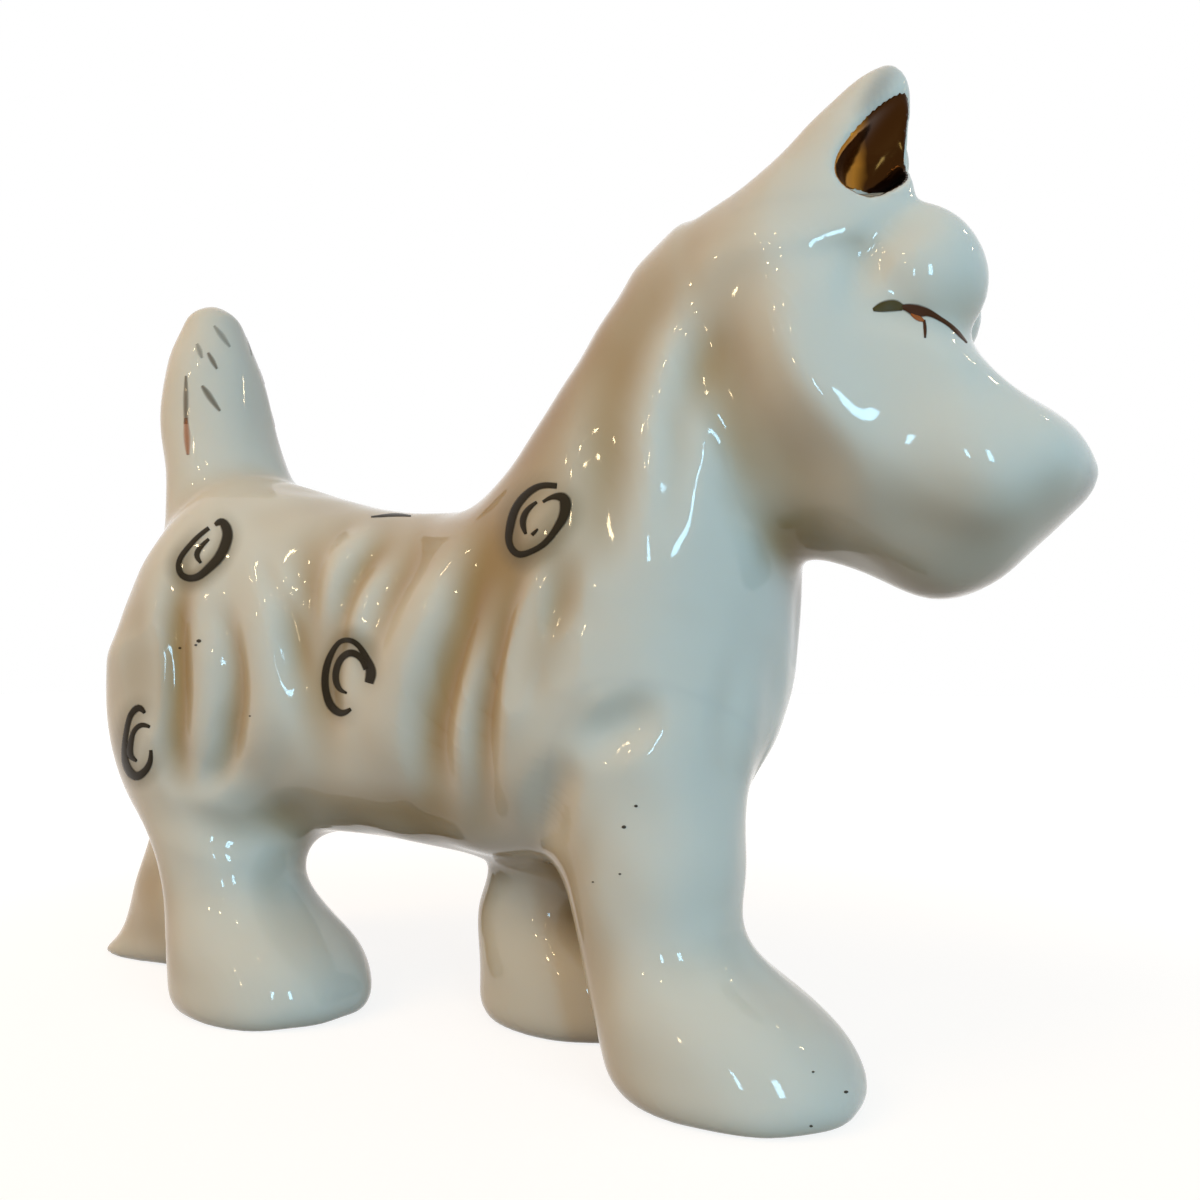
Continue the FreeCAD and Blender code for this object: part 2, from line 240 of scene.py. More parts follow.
# %% [markdown]
# The head looks a little to the dog's left, so its grids are made straight and then turned
# about the upright line through the middle of the neck. Its first rows lie inside the neck.

# %% The head and its brows
neck_rows = np.array([(-0.120, 0.120, 0.200, 0.880, 0.76, 2.1)])
# A thumb has pressed the bridge of the nose, the chin and the tip in a little.
bridge_press = np.array([(-0.008, 0.008), (-0.018, 0.017), (-0.016, 0.015), (-0.004, 0.003)])
chin_press = np.array([(0, -0.018), (0, -0.034), (-0.010, -0.022), (-0.012, 0.0), (-0.013, 0.0)])
tip_press = np.array([(-0.012, 0.0), (-0.013, 0.0)])
far_brow_lift = np.array((-0.9, 0, 0.5))


def head_point(x_share, z_share, y=0.0):
    """A point before the poll by a share of the head's length, below it by one of its depth."""
    return poll + (head_length * x_share, y, -head_depth * z_share)


def turned(points, by=head_turn, about=neck_middle * (1, 0, 0)):
    """Points turned by an angle in degrees about an upright line."""
    a = math.radians(by)
    matrix = np.array([(math.cos(a), -math.sin(a), 0), (math.sin(a), math.cos(a), 0), (0, 0, 1)])
    return (points - about) @ matrix.T + about


def egg(centre, half_sizes):
    """A unit sphere in latitude and longitude, stretched to three half sizes."""
    near_pole = 0.02
    lat = np.linspace(near_pole, np.pi - near_pole, RINGS // 2)[:, None]
    lon = np.linspace(0, 2 * np.pi, POINTS, endpoint=False)[None]
    unit = np.stack([np.cos(lat) + 0 * lon, np.sin(lat) * np.cos(lon), np.sin(lat) * np.sin(lon)], -1)
    return centre + unit * half_sizes


rows = np.vstack([neck_rows, head_shares])
rows[5:9, :2] += bridge_press
rows[6:11, 2:4] += chin_press
rows[9:11, :2] += tip_press
head_grid = turned(spine_piece(np.array([head_point(x, z) for x, z in rows[:, :2]]),
                               np.array([head_point(x, z) for x, z in rows[:, 2:4]]),
                               head_width / 2 * rows[:, 4], rows[:, 5]))
brow_grids = []
for side, lift in ((-1, 0), (1, far_brow_lift)):
    brow_middle = head_point(brow_along_share, brow_below_share, side * brow_spread) + lift
    brow_grids.append(turned(egg(brow_middle, brow_size / 2)))
print("head grid", head_grid.shape, "brows", len(brow_grids))

# %% [markdown]
# Ears and tail are rolled and pinched by hand: thick at the root, thin at the tip, and
# leaning. Level rings on a curved middle line are enough for them. The tool that scoops out
# the ear is made the same way, as a solid that is cut away later.

# %% The ears, their scoops and the tail
def tapering(shares, root, height, length, width, lean, draw_in=0.0):
    """Level rings on a leaning middle line, from a table of height, length, width and lean."""
    up, long, wide, lean_share = shares.T
    middles = root + np.stack([lean * lean_share, draw_in * lean_share, height * up], -1)
    return level_piece(middles, length * long / 2, width * wide / 2)


# The near ear keeps a thin rim in front of its scoop, and its tip leans forward. The far ear
# is hidden in the photograph, so it stands a little further back.
scoop_lower = 0.6
ear_extra, tip_ahead, far_ear_setback, scoop_ahead, scoop_shorter = -0.2, 1.3, 0.8, 0.3, 2.2


def ear_grids(side):
    """One ear and the tool that scoops it out."""
    root = head_point(ear_along_share, 0, side * ear_spread) - (0, 0, ear_root_depth)
    draw_in = -side * ear_tip_draw_in
    lean = ear_lean + tip_ahead
    scoop_root = root + (scoop_forward + scoop_ahead, side * scoop_outward, scoop_start - scoop_lower)
    ear = tapering(ear_shares, root + (ear_extra / 2, 0, 0), ear_height, ear_length + ear_extra,
                   ear_width, lean, draw_in)
    scoop = tapering(scoop_shares, scoop_root, scoop_height + scoop_lower, scoop_length - scoop_shorter,
                     scoop_width, lean, draw_in)
    setback = (far_ear_setback + ear_extra + tip_ahead / 2 if side > 0 else 0, 0, 0)
    return turned(ear - setback), turned(scoop - setback)


tail_extra, tail_flatter = 1.2, 0.5
tail_root = trunk_point(tail_place_share, croup_share) - (0, 0, tail_root_depth)
tail_grid = tapering(tail_shares, tail_root, tail_height + tail_extra, tail_diameter - tail_flatter,
                     tail_diameter, tail_lean)
ears = {side: ear_grids(side) for side in (-1, 1)}
print("tail grid", tail_grid.shape, "ears", len(ears))

# %% [markdown]
# A leg is a bulbous foot under a shank that widens to the thigh. Its rear and outer edges
# run up into the body in one sweep, so the rings are placed by those edges and not by their
# middles. One table has the foot's rings, and another mixes the ankle with the thigh.

# %% The legs
def leg_grid(side, heel_share, ankle_lead, foot_tuck, tuck_share, thigh_rear_share):
    """A flat-soled foot, and a shank whose rear and outer edges run straight to the hip."""
    heel, foot_middle = trunk_length * heel_share, (trunk_width - foot_width) / 2 - foot_tuck
    up, rear, front, wide = foot_shares.T
    share, growth = shank_shares.T
    mix = lambda low, high, by: low + (high - low) * by
    length = np.concatenate([foot_length * (front - rear), mix(ankle_length, thigh_length, growth)])
    width = np.concatenate([foot_width * wide, mix(ankle_width, thigh_width, growth)])
    rear_edge = np.concatenate([heel + foot_length * rear + ankle_lead * up,
                                mix(heel + ankle_lead, trunk_length * thigh_rear_share, share)])
    outer_edge = np.concatenate([foot_middle + foot_width * wide / 2,
                                 mix(foot_middle + ankle_width / 2, trunk_width * (0.5 - tuck_share), share)])
    height = np.concatenate([foot_height * up, mix(foot_height, hip_height, share)])
    middles = np.stack([rear_edge + length / 2, side * (outer_edge - width / 2), height], -1)
    return level_piece(middles, length / 2, width / 2, leg_power)


leg_grids = {
    "right_fore_leg": leg_grid(-1, 0.814, -3.2, **fore),
    "left_fore_leg": leg_grid(1, 0.546, -0.4, **fore),
    "right_hind_leg": leg_grid(-1, 0.154, -2.0, **hind),
    "left_hind_leg": leg_grid(1, -0.156, 3.4, **hind),
}

# The far hind foot ends in a pointed flare of clay at its heel: height, place along and
# across, half length and half width of each ring.
flare_rings = np.array([
    (0.0, -8.5, -0.9, 4.2, 1.5),
    (0.6, -8.3, -0.8, 4.0, 1.6),
    (2.0, -7.2, -0.3, 3.0, 1.8),
    (5.0, -5.6, 0.6, 2.2, 1.8),
    (10.0, -3.6, 1.6, 1.4, 1.4),
])
flare_power = 1.5
heel_flare = level_piece(flare_rings[:, [1, 2, 0]], flare_rings[:, 3], flare_rings[:, 4], flare_power)
print("legs", *leg_grids)

# %% [markdown]
# ## Where the figure stands in the frame
#
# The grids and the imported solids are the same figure, so the middle of one bounding box
# goes to the middle of the other. From here one shift and one factor turn the script's
# millimetres into the frame's metres.

# %% From millimetres to the frame
MM = 0.001
grids = (trunk_grid, head_grid, tail_grid, ears[1][0], ears[-1][0], *leg_grids.values())
everything = np.vstack([grid.reshape(-1, 3) for grid in grids])
own_middle = (everything.min(0) + everything.max(0)) / 2
ORIGIN = ((np.array(cad_low) + np.array(cad_high)) / 2 / MM - own_middle) * (1, 1, 0)
BOX_LOW, BOX_HIGH = np.array(cad_low) / MM - ORIGIN, np.array(cad_high) / MM - ORIGIN
print("shift", ORIGIN.round(2), "box", BOX_LOW.round(1), BOX_HIGH.round(1))

# %% [markdown]
# ## Melting the pieces together
#
# Slip and glaze fill each joint with a soft fillet. Meshes can't melt into each other, but
# distances can. Each grid becomes a block of numbers that say how far every point of space
# is from the piece's surface, less than nought inside. A smooth minimum of two blocks is a
# joint with a fillet, a smooth maximum scoops out a hollow, and the surface where the block
# is nought is the skin.

# %% A distance block for each piece
voxel = 0.4
band = 12
margin = 3.0
low_index = np.floor((BOX_LOW - margin) / voxel).astype(int)
shape = tuple(np.ceil((BOX_HIGH + margin) / voxel).astype(int) - low_index)
corner_index = tuple(int(i) for i in low_index)
step = openvdb.createLinearTransform(voxelSize=voxel)
print("a block has", shape, "numbers,", voxel, "mm apart")


def closed(grid):
    """Points and triangles of a grid of rings, closed by a fan at each end."""
    n, m, _ = grid.shape
    ring = np.arange(m)
    after = (ring + 1) % m
    base = np.arange(n - 1)[:, None] * m
    a, b, c, d = base + ring, base + after, base + m + after, base + m + ring
    walls = [np.stack([a, b, c], -1).reshape(-1, 3), np.stack([a, c, d], -1).reshape(-1, 3)]
    first, last, top = n * m, n * m + 1, (n - 1) * m
    fans = [np.stack([after, ring, np.full(m, first)], -1),
            np.stack([top + ring, top + after, np.full(m, last)], -1)]
    points = np.vstack([grid.reshape(-1, 3), grid[0].mean(0), grid[-1].mean(0)])
    return points, np.concatenate(walls + fans)


def distance(grid):
    """The block of signed distances to a closed grid, in millimetres, as far as the band."""
    points, triangles = closed(grid)
    level = openvdb.FloatGrid.createLevelSetFromPolygons(
        points.astype(np.float32), triangles=triangles.astype(np.uint32), transform=step, halfWidth=float(band))
    block = np.empty(shape, np.float32)
    level.copyToArray(block, ijk=corner_index)
    return block


def melt(a, b, fillet):
    """Smooth minimum: the lesser distance, less a cubic bump where the two are nearly equal."""
    near = np.maximum(fillet - np.abs(a - b), 0) / fillet
    return np.minimum(a, b) - near**3 * fillet / 6


def carve(a, b, fillet):
    """Smooth maximum of a and minus b: what is left of a when b is scooped out."""
    return -melt(-a, b, fillet)


def soften(block, times):
    """A running average of neighbours along each axis, which rounds what is sharp."""
    for axis in (0, 1, 2) * times:
        moved = np.moveaxis(block, axis, 0)
        moved[1:-1] = (moved[:-2] + 2 * moved[1:-1] + moved[2:]) / 4
    return block


# %% [markdown]
# The joints differ. A leg flows into the body over a wide fillet, the neck's joint is
# narrower, and an ear has a tight crease in front and a soft one behind. So each joint has
# its own fillet, and an ear's grows from front to back.

# %% Stick the pieces up and let the joints fill
brow_fillet, leg_fillet, neck_fillet, tail_fillet, flare_fillet = 1.4, 7.0, 4.0, 3.8, 2.5
ear_fillet, ear_fillet_growth, ear_fillet_reach, scoop_edge = 1.8, 4.2, 6.0, 0.7
x, y, z = ((np.arange(count) + start) * voxel for count, start in zip(shape, low_index))
trunk_block = distance(trunk_grid)
skull_block = distance(head_grid)
for grid in brow_grids:
    skull_block = melt(skull_block, distance(grid), brow_fillet)
leg_blocks = {name: distance(grid) for name, grid in leg_grids.items()}
all_legs = np.minimum.reduce(list(leg_blocks.values()))
skin = melt(melt(trunk_block, all_legs, leg_fillet), skull_block, neck_fillet)
skin = melt(melt(skin, distance(tail_grid), tail_fillet), distance(heel_flare), flare_fillet)
scoop_block = np.full(shape, band * voxel, np.float32)
for ear, scoop in ears.values():
    behind = np.clip((ear[:, :, 0].mean() + 1 - x) / ear_fillet_reach, 0, 1)[:, None, None]
    scoop = distance(scoop)
    skin = carve(melt(skin, distance(ear), ear_fillet + ear_fillet_growth * behind), scoop, scoop_edge)
    scoop_block = np.minimum(scoop_block, scoop)
skin = soften(skin, 2)
print("clay and slip", int((skin < 0).sum() * voxel**3), "mm3")

# %% [markdown]
# A hollow figure needs a hole for the kiln's hot air, or it bursts. It is in the belly, where
# nobody sees it. The soles are ground flat, so whatever is below the floor is cut off. Both
# are one more maximum of two distances.

# %% The vent hole in the belly and the flat soles
vent_edge = 0.6
vent = trunk_point(vent_place_share, 0)
hole = np.hypot(x - vent[0], y[:, None]).T[:, :, None] - vent_hole_diameter / 2
skin = carve(skin, np.maximum(hole, z - vent[2] - vent_hole_diameter), vent_edge)
skin = np.maximum(skin, -z).astype(np.float32)
print("skin block", skin.shape, "inside", int((skin < 0).sum() * voxel**3), "mm3")


# %% [markdown]
# OpenVDB finds the surface as quads of even size, which take marks and smoothing well. The
# helpers below work on whole arrays: bincount adds up what each triangle gives to its
# corners, with no loop over points.

# %% From distances to a surface
def surface(block):
    """Points and triangles where a distance block is nought, with faces outwards."""
    level = openvdb.FloatGrid(band * voxel)
    level.copyFromArray(block, ijk=corner_index)
    level.transform = step
    points, quads = level.convertToQuads(isovalue=0.0)
    quads = quads.astype(np.int64)
    return points.astype(float), np.concatenate([quads[:, [0, 1, 2]], quads[:, [0, 2, 3]]])


def spread(values, index, count):
    """The sum of rows of values at each index."""
    return np.stack([np.bincount(index, column, count) for column in values.T], -1)


def normals_of(points, triangles):
    """Each point's normal: the sum of its triangles' normals, weighed by their area."""
    a, b, c = (points[triangles[:, i]] for i in range(3))
    face = np.repeat(np.cross(b - a, c - a), 3, axis=0)
    total = spread(face, triangles.ravel(), len(points))
    return total / np.maximum(np.linalg.norm(total, axis=1, keepdims=True), 1e-12)


def neighbour_mean(values, triangles):
    """The mean of each row's neighbours along the triangles' edges."""
    start, end = triangles.ravel(), np.roll(triangles, 1, axis=1).ravel()
    start, end = np.concatenate([start, end]), np.concatenate([end, start])
    return spread(values[end], start, len(values)) / np.bincount(start, minlength=len(values))[:, None]


def smoothed(values, triangles, times):
    """Rows of values, each moved half way to the mean of its neighbours, so many times."""
    for _ in range(times):
        values = (values + neighbour_mean(values, triangles)) / 2
    return values


rest_points, triangles = surface(skin)
normals = normals_of(rest_points, triangles)
print("skin", len(rest_points), "points", len(triangles), "triangles")

# %% [markdown]
# ## The view
#
# The photograph was taken from close by, so the near foot looks large. The camera's place
# was found by fitting the flat soles and the outline. The same camera lays the tool marks
# and the brush strokes on the skin: their paths are given in pixels of the 1200 pixel
# picture, and each one goes where its pixels see the figure.

# %% The camera's geometry
camera_place = np.array([117.5, -100.1, 38.5])
focal_pixels, frame_pixels, sensor_width = 1060.0, 1200.0, 36.0
turn_left, tilt_up = math.radians(28.0), math.radians(3.8)
print("lens", round(sensor_width * focal_pixels / frame_pixels, 1), "mm")
view_right = np.array([math.cos(turn_left), math.sin(turn_left), 0])
view_level = np.array([-math.sin(turn_left), math.cos(turn_left), 0])
view_forward = view_level * math.cos(tilt_up) + (0, 0, math.sin(tilt_up))
view_up = np.array([0, 0, math.cos(tilt_up)]) - view_level * math.sin(tilt_up)


def pixels(points):
    """The pixel at which the camera sees each point, and the pixels per millimetre there."""
    away = points - camera_place
    scale = focal_pixels / (away @ view_forward)
    middle = frame_pixels / 2
    return np.stack([middle + scale * (away @ view_right), middle - scale * (away @ view_up)], -1), scale


def rays(uv):
    """The direction in which the camera looks through each pixel."""
    across, down = (np.asarray(uv, float) - frame_pixels / 2).T / focal_pixels
    return view_forward + across[:, None] * view_right - down[:, None] * view_up


# %% [markdown]
# ## The painted marks
#
# A brush has drawn curls on the coat, a drowsy eye, a few strokes on the tail and a shaded
# nose tip. Each stroke is a path with a third number, the half width of the brush there in
# pixels. The strokes come before the fur, because a thin wash of the same colour lies
# around the curls under the glaze.

# %% Brush strokes
upper_hip_curl = [
    [(215, 525, 2.2), (221, 522, 4.6), (227, 530, 6.0), (226, 543, 6.4), (220, 556, 6.0), (208, 569, 5.0),
     (194, 578, 4.2), (182, 575, 3.8), (179, 563, 3.4), (187, 549, 3.2), (198, 537, 3.0), (209, 528, 2.6)],
    [(209, 539, 2.0), (201, 547, 3.0), (197, 555, 3.4), (201, 563, 1.8)],
]
shoulder_curl = [
    [(557, 486, 2.6), (541, 486, 2.8), (526, 495, 3.4), (515, 510, 3.6), (510, 528, 3.6), (510, 545, 3.0),
     (518, 554, 3.0), (530, 552, 2.6), (545, 543, 2.8), (557, 528, 3.4), (565, 512, 4.8), (563, 498, 4.6),
     (553, 497, 2.4), (543, 502, 1.4)],
    [(537, 502, 1.4), (527, 511, 2.6), (523, 523, 2.8), (526, 534, 1.3)],
    [(532, 535, 1.6), (535, 532, 1.5), (538, 529, 0.9)],
]
flank_curl = [
    [(369, 683, 4.0), (371, 672, 4.6), (368, 661, 3.4), (362, 650, 2.6), (352, 641, 2.4), (342, 641, 2.2),
     (334, 649, 2.4), (328, 662, 3.0), (325, 680, 3.2), (327, 696, 3.4), (333, 708, 3.6), (342, 713, 3.0),
     (351, 709, 1.6)],
    [(367, 669, 3.2), (360, 657, 3.0), (351, 653, 3.2), (342, 658, 3.0), (337, 668, 3.0), (336, 680, 2.8),
     (341, 690, 2.0), (347, 693, 1.0)],
]
back_curl = [[(371, 517, 1.0), (386, 515.5, 1.8), (400, 515, 1.9), (411, 516, 1.0)]]
rear_curl = [
    [(145, 713, 1.4), (139, 708, 3.0), (133, 712, 2.8), (128, 724, 2.4), (125, 742, 2.4), (125, 758, 3.0),
     (129, 770, 3.6), (136, 776, 3.8), (144, 772, 3.2), (150, 762, 2.4), (151, 750, 1.4)],
    [(150, 727, 1.4), (142, 725, 2.2), (135, 730, 2.2), (131, 742, 2.6), (131, 756, 2.8), (137, 761, 1.2)],
]
thicken = lambda curl, factor: [[(x, y, r * factor) for x, y, r in stroke] for stroke in curl]
curls = [upper_hip_curl, thicken(shoulder_curl, 1.35), thicken(flank_curl, 1.35), thicken(rear_curl, 1.35)]
eye_blobs = [
    [(873, 310, 2.0), (879, 308, 5.0), (888, 306, 6.8), (897, 306, 6.2), (903, 308, 3.4)],
    [(900, 307, 2.4), (908, 308, 5.0), (917, 311, 7.4), (926, 312, 5.2), (937, 317, 3.2), (948, 324, 2.6),
     (958, 333, 2.6), (967, 343, 1.0)],
    [(924, 320, 1.6), (925, 329, 2.0), (925, 338, 1.2)],
]
lash_rust = [[(911, 314, 1.2), (918, 318, 3.4), (924, 321, 1.4)]]
tail_browns = [
    [(202, 386, 2.0), (207, 393, 4.0), (214, 403, 3.4), (220, 411, 1.8)],
    [(208, 353, 1.8), (212, 360, 3.2), (217, 369, 1.6)],
    [(186, 376, 1.6), (186, 396, 3.2), (186, 424, 2.6)],
]
tail_greys = [
    [(214, 326, 1.6), (221, 335, 3.6), (230, 347, 1.6)],
    [(197, 344, 2.0), (200, 352, 3.4), (202, 358, 1.6)],
]
tail_oranges = [[(186, 418, 2.2), (187, 436, 4.0), (188, 455, 2.0)]]
nose_shade = [(1100, 462), (1097, 482), (1086, 500), (1070, 517)]
specks = [(636, 806, 1.7), (624, 827, 2.1), (620, 874, 1.3), (593, 882, 1.0), (813, 1072, 1.3),
          (846, 1092, 1.9), (811, 1126, 1.5), (199, 641, 2.2), (196, 645, 1.3), (180, 648, 1.4),
          (250, 716, 1.0)]
print("strokes", sum(len(curl) for curl in curls))

# %% [markdown]
# ## The modelled fur
#
# Before firing, folds are pressed into the coat with a round tool, and ridges are left
# between them. Each row below is one tool mark: its half width and its depth in
# millimetres, and its path. A depth below nought raises a ridge.

# %% Tool marks on the coat and the legs
coat_marks = [
    (2.6, 0.75, [(190, 552), (179, 590), (174, 640), (173, 700), (176, 760), (188, 800)]),
    (2.4, -0.35, [(161, 585), (157, 640), (158, 700), (164, 770)]),
    (2.2, -0.40, [(208, 625), (206, 690), (206, 755)]),
    (2.1, 0.65, [(222, 605), (233, 645), (236, 690), (231, 735), (216, 775), (197, 792)]),
    (3.4, -0.60, [(250, 560), (259, 620), (265, 680), (262, 740), (248, 790)]),
    (1.6, 0.35, [(260, 556), (274, 590), (286, 630), (291, 680)]),
    (3.2, 0.75, [(312, 535), (304, 590), (303, 650), (310, 700), (321, 745), (332, 775)]),
    (2.3, -0.45, [(374, 524), (350, 550), (330, 585), (318, 622)]),
    (2.3, 0.60, [(392, 533), (364, 570), (343, 605), (331, 642), (327, 684), (334, 732)]),
    (1.6, -0.32, [(386, 558), (366, 588), (352, 620), (345, 645)]),
    (2.8, 0.42, [(424, 545), (398, 586), (380, 625), (372, 665)]),
    (4.8, -0.65, [(472, 528), (440, 590), (412, 650), (400, 710), (402, 765)]),
    (3.2, 1.05, [(502, 522), (478, 570), (455, 630), (437, 685), (429, 735), (434, 780), (448, 815)]),
    (2.2, -0.42, [(498, 578), (476, 640), (462, 695), (458, 750), (466, 800)]),
    (2.8, 0.90, [(522, 550), (503, 605), (487, 660), (478, 715), (477, 770), (487, 828)]),
    (2.4, -0.40, [(543, 568), (523, 620), (508, 680), (502, 745)]),
    (2.6, 0.45, [(568, 552), (556, 600), (541, 645), (529, 695)]),
    (3.4, 0.45, [(598, 742), (618, 730), (642, 716)]),
    (3.0, 0.40, [(560, 770), (548, 805), (545, 840)]),
    (4.0, 0.60, [(673, 250), (652, 300), (627, 350), (611, 405), (608, 460), (606, 515), (598, 565)]),
    (2.6, 0.30, [(700, 330), (682, 400), (676, 470), (668, 540)]),
    (5.5, 0.20, [(300, 545), (312, 620), (318, 700), (335, 770)]),
    (6.5, 0.35, [(500, 540), (462, 620), (440, 700), (445, 790), (470, 840)]),
]
fold_marks = [
    (3.4, 0.45, [(598, 742), (618, 730), (642, 716)]),
    (3.0, 0.40, [(560, 770), (548, 805), (545, 840)]),
    (3.2, 0.60, [(160, 812), (200, 828), (250, 835), (292, 815), (318, 800)]),
    (3.2, -0.35, [(178, 782), (230, 796), (282, 780)]),
    (2.0, 0.35, [(732, 664), (725, 700), (722, 740), (730, 775), (741, 795)]),
    (5.0, -0.35, [(762, 690), (757, 730), (758, 765)]),
]
# These rows shape nothing: each lays painted shade, a warm tan over a band of the coat in shadow, given by a
# half width, a strength and a path. A strength below nought takes tan away.
painted_shade_marks = [
    (4.5, 0.32, [(640, 240), (575, 330), (520, 420), (480, 490)]),
    (5.0, 0.34, [(728, 290), (722, 350), (740, 415), (785, 470)]),
    (4.0, 0.25, [(785, 465), (805, 500), (812, 545)]),
    (3.5, 0.25, [(180, 600), (172, 700), (178, 780)]),
    (4.0, 0.30, [(300, 800), (400, 812), (500, 850)]),
    (4.0, 0.26, [(600, 760), (572, 850), (590, 950), (612, 1050)]),
    (3.0, 0.20, [(150, 850), (160, 930), (185, 1000)]),
    (13.0, 0.42, [(660, 210), (575, 340), (535, 450), (510, 560), (500, 660)]),
    (10.0, 0.28, [(290, 515), (390, 535), (480, 530)]),
    (9.0, 0.26, [(165, 540), (140, 640), (140, 760)]),
    (8.0, 0.26, [(800, 110), (750, 200), (690, 240)]),
    (7.0, 0.30, [(130, 850), (128, 900), (135, 960)]),
    (5.0, -0.60, [(585, 750), (618, 730), (655, 712)]),
    (4.0, -0.40, [(562, 765), (548, 805), (545, 845)]),
]
print("marks", len(coat_marks), "folds", len(fold_marks), "painted_shades", len(painted_shade_marks))

# %% [markdown]
# On the head the marks are wider and softer: the groove behind the cheek, the rim of the
# jaw, the hollow around the eye and the crease of the lid. They could be part of the head's
# rings, but a few presses on the skin are shorter, and that is how a thumb makes them.

# %% Tool marks on the head
head_marks = [
    (6.0, 1.6, [(738, 262), (729, 295), (727, 335), (738, 385), (764, 430), (798, 475), (815, 530)]),
    (6.4, -0.50, [(800, 205), (794, 215), (786, 260), (786, 310), (794, 352), (814, 397), (850, 440),
                  (900, 484)]),
    (7.5, 0.70, [(850, 275), (852, 320), (870, 360), (905, 385)]),
    (2.6, 0.55, [(860, 312), (858, 280), (874, 247), (905, 226), (938, 214)]),
    (1.9, 0.50, [(872, 306), (905, 314), (936, 326), (972, 350)]),
    (7.0, -0.60, [(925, 458), (965, 462), (1005, 470)]),
    (4.2, 0.40, [(872, 502), (928, 540), (990, 556), (1050, 540)]),
]
PATH_POINTS, FACING, FADE = 60, 4, 2.5
print("marks on the head", len(head_marks))


def pressed(points, normals, marks):
    """How deep each point goes in. A mark is the envelope of soft round dents set along its
    path, shallower towards its ends, and only skin that faces the camera takes it. One dent is
    (1 - gap squared) squared, where the gap is 1 at its rim, and a fold fades by 1 - t^2.5."""
    uv, scale = pixels(points)
    away = points - camera_place
    facing = np.clip(-FACING * np.einsum("ij,ij->i", normals, away) / np.linalg.norm(away, axis=1), 0, 1)
    total = np.zeros(len(points))
    for half_width, depth, path in marks:
        path = np.array(path, float)
        line = flow(path, along(path), PATH_POINTS)
        fade = 1 - np.abs(np.linspace(-1, 1, PATH_POINTS)) ** FADE
        reach = half_width * scale
        inside = np.all((uv > line.min(0) - reach[:, None]) & (uv < line.max(0) + reach[:, None]), axis=1)
        near = np.flatnonzero(inside & (facing > 0))
        gap = np.linalg.norm(uv[near, None] - line, axis=2) / reach[near, None]
        total[near] += depth * (fade * np.clip(1 - gap**2, 0, 1) ** 2).max(1)
    return total * facing


def both_sides(marks, flip, turn_back, left_marks=None):
    """Press marks into the right side as seen, and into the left side in mirror image."""
    own = turn_back(rest_points)
    on_left = own[:, 1] > 0
    depth = pressed(rest_points, normals, marks)
    depth[on_left] = pressed(flip(rest_points[on_left]), flip(normals[on_left], 0), left_marks or marks)
    return depth


def flip_coat(points, about=None):
    """The mirror image in the trunk's middle plane."""
    return points * (1, -1, 1)


def flip_head(points, about=neck_middle * (1, 0, 0)):
    """The mirror image in the turned head's own middle plane."""
    return turned(turned(points, -head_turn, about) * (1, -1, 1), head_turn, about)


# The mirror of each piece, and how its points are turned back straight.
on_coat = (flip_coat, lambda p: p)
on_head = (flip_head, lambda p: turned(p, -head_turn))

# %% [markdown]
# The marks go in along the normals, first those of the coat, then the folds above the legs,
# and then those of the head. A hand leaves no surface quite even, so eight faint waves in
# all directions, 6 to 10 mm long, are added. Some smoothing then does what slip and glaze
# do: it rounds every edge.

# %% Press the marks in
coat_press, coat_bottom, coat_blend = 1.45, 12, 6
waves, wave_height, slowest, quickest = 8, 0.24, 0.65, 1.1
above_legs = np.clip((rest_points[:, 2] - coat_bottom) / coat_blend, 0, 1)
coat_depth = coat_press * both_sides(coat_marks, *on_coat) * above_legs
depth = coat_depth + both_sides(fold_marks, *on_coat) * above_legs
depth += both_sides(head_marks, *on_head)
directions = np.random.default_rng(7).normal(size=(waves, 3))
directions *= np.linspace(slowest, quickest, waves)[:, None] / np.linalg.norm(directions, axis=1, keepdims=True)
depth += wave_height * np.sin(rest_points @ directions.T + np.arange(waves)).mean(1)
points = smoothed(rest_points - normals * depth[:, None], triangles, 3)
points = np.clip(points, BOX_LOW, BOX_HIGH)
print("deepest", round(depth.max(), 2), "highest", round(-depth.min(), 2), "mm")

# %% [markdown]
# Around each curl, and at the tips of the nose and the ears, a little colour has run under
# the glaze. It is kept as a colour at each point of the skin with its share in the fourth
# number, because a painted texture would need the skin unwrapped.

# %% Washes of thin colour under the glaze
olive_wash, grey_wash = (0.17, 0.125, 0.05), (0.20, 0.21, 0.21)
far_shifts = [(12, -6), (-22, 26), (34, -70), (16, -22)]
wash_width, wash_share = 2.2, 0.75


def outer_strokes(shifts):
    """A wide soft mark along the outer stroke of each curl, moved by its shift."""
    return [(wash_width, wash_share, np.array(curl[0])[:, :2] + shift) for curl, shift in zip(curls, shifts)]


near_strokes, far_strokes = outer_strokes([(0, 0)] * len(curls)), outer_strokes(far_shifts)
coat_wash = np.clip(both_sides(near_strokes, *on_coat, far_strokes), 0, 1)
ear_shade = [(862, 116), (876, 92), (888, 74), (894, 62)]
shades = [(1.6, 0.6, nose_shade), (1.6, 0.55, ear_shade)]
nose_wash = np.clip(both_sides(shades, *on_head), 0, 1)
underglaze = np.where(coat_wash[:, None] > 0, olive_wash + (0,), grey_wash + (0,))
underglaze[:, 3] = np.maximum(coat_wash, nose_wash)
normals = normals_of(points, triangles)
print("washed points", int((underglaze[:, 3] > 0).sum()))
